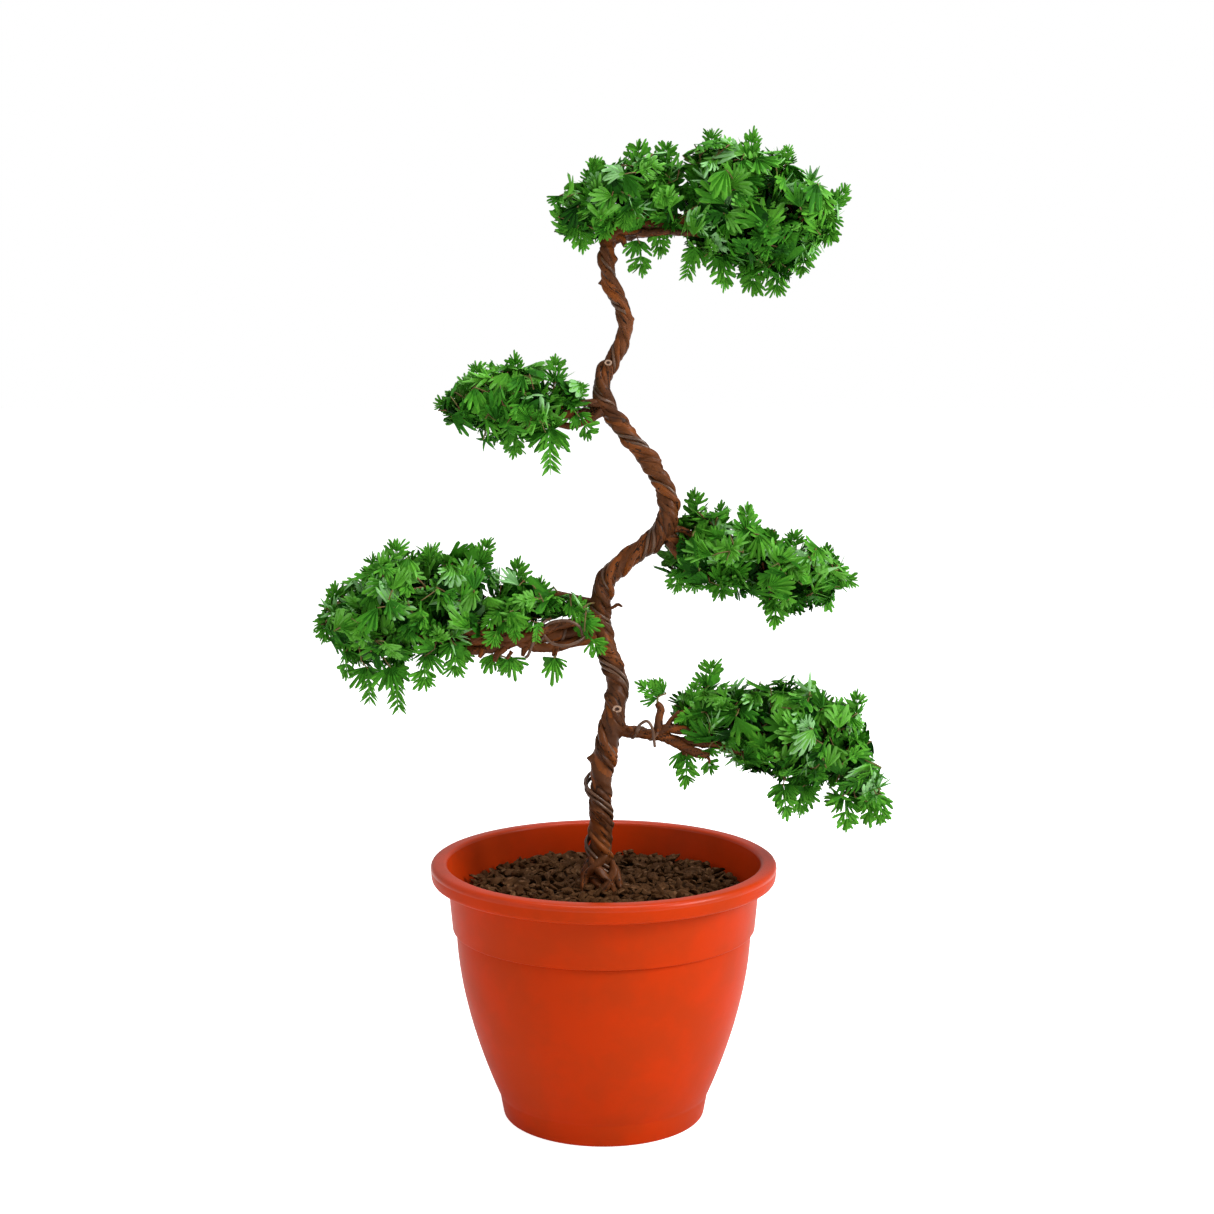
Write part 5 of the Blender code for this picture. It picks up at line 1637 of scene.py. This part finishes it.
def stem_path(mass):
    """Places and radii of a mass's stem, which goes on from its bearer's tip."""
    if mass.bearer == "left_stub":
        return smooth_path((*LEFT_STUB, *mass.stem), 5)
    bearer = TRUNK_KNOTS if mass.bearer == "trunk" else BOUGHS[mass.bearer]
    return smooth_path(((*bearer[-1][:3], bearer[-1][3] * END_MARGIN), *mass.stem), 5)


class Growth:
    """Twigs and sprays of one mass, as they are laid down."""

    def __init__(self, mass, settings, limbs):
        self.mass = mass
        self.pad = Pad(mass)
        self.draw = random.Random(mass.seed)
        self.settings = settings
        self.limbs = limbs
        self.roots = Roots()
        self.spurs = []
        self.twigs = []
        self.shoots = []
        self.sprays = []

    def clear_of_limbs(self, points, room):
        places, radii = self.limbs
        away = np.linalg.norm(points[:, None] - places[None], axis=2) - radii[None]
        return away.min() > room

    def spray_clear(self, base, along, size):
        return self.clear_of_limbs((base + along * size * SPRAY_MIDDLE)[None], SPRAY_ROOM * MM)

    def add_twig(self, place, ends, store, sides):
        """A twig to a place from the best growing point, or nothing where it would touch a limb."""
        radius, tip_radius = make_array(ends)
        index = self.roots.best(place)
        start = self.roots.places[index]
        if np.linalg.norm(place - start) < LEAST_TWIG * MM:
            return None
        path = twig_path(start, self.roots.headings[index], place, self.draw)
        if not self.clear_of_limbs(path[2:], TWIG_ROOM * MM):
            return None
        radius = min(radius, self.roots.radii[index] * 0.9)
        radii = np.linspace(radius, min(tip_radius, radius), len(path))
        store.append(closed_tube(swept(path, np.repeat(radii[:, None], sides, axis=1))))
        self.roots.add(path, radii)
        return path

    def chance(self, spread=1.0):
        return np.array([self.draw.gauss(0, spread) for _ in range(3)])

    def put_spray(self, base, along, facing, size, tone, kind):
        """A spray on the end of a shoot, its flat side turned to face a way."""
        if not self.spray_clear(base, along, size):
            return
        over = unit(facing - along * facing.dot(along))
        across = np.cross(over, along)
        number = self.draw.randrange(SHAPES_PER_KIND)
        self.sprays.append((kind, number, base, np.stack([along, across, over], axis=1), size, tone))

    def kind_for(self, outward, spike):
        chance = self.draw.random()
        fronds, ferns = HANGING_LIMITS
        if outward[2] < UNDERSIDE and chance < ferns:
            return "frond" if chance < fronds else "fern"
        fans, fronds = SPIKE_LIMITS if spike else SPLAYED_LIMITS
        if chance > fronds:
            return "tuft"
        return "frond" if chance > fans else "fan"

    def grow(self):
        """The stem, branchlets deep in the pad, then sprayed shoots inside it and under its skin."""
        mass = self.mass
        self.stem = stem_path(mass)
        self.roots.add(*self.stem)
        if mass.bearer in BOUGHS:
            limb, radii = smooth_path(BOUGHS[mass.bearer], 6)
            outer = len(limb) // 3
            self.roots.add(limb[outer:], radii[outer:])
        for knots in SPURS.get(mass.name, ()):
            path, radii = smooth_path(knots, 5)
            outer = len(path) // 2
            self.roots.add(path[outer:], radii[outer:])
            self.spurs.append((path, radii))
        for place, _ in self.ordered(BRANCHLET_SPACING * MM, *BRANCHLET_DEPTHS):
            self.add_twig(place, BRANCHLET_RADII, self.twigs, 6)
        for layer in LAYERS:
            self.fill(layer)
        for tip in mass.sprigs:
            share, kind = (*tip[3:], *(1, "frond")[len(tip) - 3 :])
            self.sprig(make_array(tip[:3]), self.settings.spray_size * share, kind)

    def ordered(self, spacing, shallowest, deepest):
        """Places in a shell of the pad and the ways out of it there, the nearest to a growing point first."""
        places, ways = self.pad.places(self.draw, spacing, shallowest * MM, deepest * MM)
        order = np.argsort(self.roots.distance(places)) if len(places) else []
        return [(places[index], ways[index]) for index in order]

    def fill(self, layer):
        """Sprays whose tips lie in a shell of the pad, on shoots that come to their feet."""
        draw = self.draw
        size = self.settings.spray_size * layer.size
        spacing = getattr(self.settings, layer.spacing) * layer.share
        for tip, outward in self.ordered(spacing, layer.shallowest, layer.deepest):
            heading = unit(tip - self.roots.places[self.roots.best(tip)])
            loose = heading * HEADING_SHARE + self.chance(STRAY)
            tangent = loose - outward * loose.dot(outward)
            spike = draw.random() < SPIKE_CHANCE - SPIKE_LOSS * abs(outward[1])
            if spike:
                along = unit(outward + tangent * SPIKE_SWAY + UPWARD * SPIKE_RISE)
            else:
                along = unit(unit(tangent) * 0.9 + outward * draw.uniform(*SPLAY))
            length = size * draw.uniform(*SPRAY_SIZES)
            base = tip - along * length * 0.97
            if not self.spray_clear(base, along, length) or not self.pad.holds(base):
                continue
            if self.add_twig(base, SHOOT_RADII, self.shoots, 4) is None:
                continue
            # Painted light and shade: deeper layers take darker tones, sprays facing up paler ones, with a
            # random spread
            tone = layer.tone + layer.sunlit * outward[2] + draw.gauss(0, TONE_SPREAD)
            facing = outward + self.chance(0.75 if spike else 0.3)
            kind = layer.kind or self.kind_for(outward, spike)
            self.put_spray(base, along, facing, length, tone, kind)

    def sprig(self, tip, size, kind):
        """A single far shoot that ends in three sprays."""
        centre = np.array((np.clip(tip[0], self.pad.x[1], self.pad.x[-2]), tip[1], tip[2]))
        centre[2] = self.pad.middle_and_halves(centre[0])[0]
        way = unit(tip - centre)
        path = self.add_twig(tip - way * size * 0.95, SPRIG_RADII, self.shoots, 5)
        if path is None:
            return
        facing = FORWARD + self.chance(0.25)
        along = unit(way + self.chance(0.12))
        self.put_spray(path[-1], along, facing, size * 1.15, SPRIG_END_TONE, kind)
        for side in (-1, 1):
            along = unit(way + np.cross(way, FORWARD) * side * 0.8 + self.chance(0.2))
            facing = FORWARD + self.chance(0.4)
            self.put_spray(path[2], along, facing, size * 0.8, SPRIG_SIDE_TONE, "fan")


def laid_out(sprays, shapes):
    """Points, faces and tones of many sprays, each a copy of one of the shapes."""
    points, quads, triangles, quad_tones, triangle_tones = [], [], [], [], []
    count = 0
    for kind, number, place, turn, size, tone in sprays:
        shape_points, shape_quads, shape_triangles, *paler = shapes[kind][number]
        points.append(shape_points @ (turn * size).T + place)
        quads.append(shape_quads + count)
        triangles.append(shape_triangles + count)
        for tones, shades in zip((quad_tones, triangle_tones), paler):
            tones.append(np.clip(np.round(tone + shades), 0, len(TONES) - 1))
        count += len(shape_points)
    tones = np.concatenate([*quad_tones, *triangle_tones])
    return np.vstack(points), [np.vstack(quads), np.vstack(triangles)], tones


class BONSAI_OT_foliage(Operator):
    """Grows every mass of foliage: stem, twigs, shoots and sprays of needles"""

    bl_idname = "bonsai.foliage"
    bl_label = "Foliage"

    def execute(self, context):
        settings = context.scene.bonsai.foliage
        relief = context.scene.bonsai.limbs.relief * STEM_RELIEF
        greens = needle_materials(settings.brightness)
        stem_bark = bark_materials(context.scene.bonsai.limbs, "bough_bark", (0.55, 1, 1))
        shoot_bark = mottled_material("shoot_bark", SHOOT_BARK)
        draw = random.Random(5)
        shapes = {}
        for kind, make in SPRAY_KINDS.items():
            shapes[kind] = [make(draw).arrays() for _ in range(SHAPES_PER_KIND)]
        limbs = limb_room()
        for mass in MASSES:
            growth = Growth(mass, settings, limbs)
            growth.grow()
            needles = new_piece(mass.name + "_needles", laid_out(growth.sprays, shapes), greens)
            sharpened(needles, 48)
            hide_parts(mass.name)
            twigs = []
            for number, (path, radii) in enumerate([growth.stem, *growth.spurs]):
                seed = mass.seed + (3 if number else 0)
                twigs.append(bark_limb(path, radii, walked_along(path), 16, relief, seed, 0.15, 2))
            twigs += [(*twig, plain_tones(twig[1])) for twig in growth.twigs]
            branches = new_piece(mass.name + "_branches", joined(twigs), stem_bark)
            shoots = new_piece(mass.name + "_shoots", joined(growth.shoots), [shoot_bark])
        return {"FINISHED"}


# Stage


def soft_light(name, place, size, watts):
    """A square lamp that shines on the plant."""
    lamp = bpy.data.lights.new(name, "AREA")
    lamp.shape = "SQUARE"
    lamp.size = size
    lamp.energy = watts
    light = bpy.data.objects.new(name, lamp)
    light.location = place
    light.rotation_euler = (LIGHT_TARGET - Vector(place)).to_track_quat("-Z", "Y").to_euler()
    bpy.context.scene.collection.objects.link(light)


def glow(tree, strength):
    """Lets the floor glow for the camera's rays, and less for all others."""
    seen = add_node(tree, "LightPath", {}, "Is Camera Ray")
    limits = {"Value": seen, "To Min": strength * 0.2, "To Max": strength}
    shown = add_node(tree, "MapRange", limits, "Result")
    sockets = {"Emission Color": (1, 1, 1, 1), "Emission Strength": shown}
    plug(tree, tree.nodes["Principled BSDF"], sockets)


def surroundings(strength):
    """A white background that lights the plant more dimly than it shows."""
    world = bpy.data.worlds.new("studio")
    world.use_nodes = True
    tree = world.node_tree
    light = tree.nodes["Background"]
    plug(tree, light, {"Color": (1, 1, 1, 1), "Strength": strength})
    shown = add_node(tree, "Background", {"Color": (1, 1, 1, 1)})
    seen = add_node(tree, "LightPath", {}, "Is Camera Ray")
    mixed = add_node(tree, "MixShader", {"Fac": seen, 1: light.outputs[0], 2: shown})
    plug(tree, tree.nodes["World Output"], {"Surface": mixed})
    return world


class BONSAI_OT_stage(Operator):
    """Sets up the pale studio floor, soft lights and the camera at the photograph's angle"""

    bl_idname = "bonsai.stage"
    bl_label = "Stage"

    def execute(self, context):
        settings = context.scene.bonsai.stage
        scene = context.scene
        scene.view_settings.view_transform = "Standard"
        scene.world = surroundings(settings.sky)
        pale = tuple(settings.floor_colour)
        paint = mottled_material("pale_floor", Finish(pale, scaled(pale, 0.985), *FLOOR_SURFACE))
        glow(paint.node_tree, settings.floor_glow)
        side = FLOOR_HALF_SIDE
        corners = [(-side, -side, 0), (side, -side, 0), (side, side, 0), (-side, side, 0)]
        mesh = bpy.data.meshes.new("studio_floor")
        mesh.from_pydata(corners, [], [(0, 1, 2, 3)])
        mesh.materials.append(paint)
        floor = bpy.data.objects.new("studio_floor", mesh)
        scene.collection.objects.link(floor)
        for name, (place, size) in LAMPS.items():
            soft_light(name + "_light", place, size, getattr(settings, name + "_power"))
        lens = bpy.data.cameras.new("camera")
        lens.sensor_width = SENSOR_WIDTH
        lens.lens = FOCAL_PIXELS / IMAGE_SIDE * SENSOR_WIDTH
        camera = bpy.data.objects.new("camera", lens)
        camera.location = CAMERA_PLACE
        camera.rotation_euler = (math.radians(90 - CAMERA_PITCH), 0, 0)
        scene.collection.objects.link(camera)
        scene.camera = camera
        return {"FINISHED"}


class BONSAI_PT_panel(Panel):
    """Lists the pieces"""

    bl_label = "Bonsai"
    bl_idname = "BONSAI_PT_panel"
    bl_space_type = "VIEW_3D"
    bl_region_type = "UI"
    bl_category = "Bonsai"

    def draw(self, context):
        for operator in OPERATORS:
            self.layout.operator(operator.bl_idname)


OPERATORS = (
    BONSAI_OT_stage,
    BONSAI_OT_pot,
    BONSAI_OT_soil,
    BONSAI_OT_trunk,
    BONSAI_OT_boughs,
    BONSAI_OT_wire,
    BONSAI_OT_foliage,
)
CLASSES = (
    PotSettings,
    SoilSettings,
    LimbSettings,
    WireSettings,
    FoliageSettings,
    StageSettings,
    BonsaiSettings,
    *OPERATORS,
    BONSAI_PT_panel,
)


def register():
    for item in CLASSES:
        bpy.utils.register_class(item)
    bpy.types.Scene.bonsai = PointerProperty(type=BonsaiSettings)


def unregister():
    del bpy.types.Scene.bonsai
    for item in reversed(CLASSES):
        bpy.utils.unregister_class(item)


def main():
    register()
    bpy.ops.bonsai.stage()
    bpy.ops.bonsai.pot()
    bpy.ops.bonsai.soil()
    bpy.ops.bonsai.trunk()
    bpy.ops.bonsai.boughs()
    bpy.ops.bonsai.wire()
    bpy.ops.bonsai.foliage()


if __name__ == "__main__":
    main()
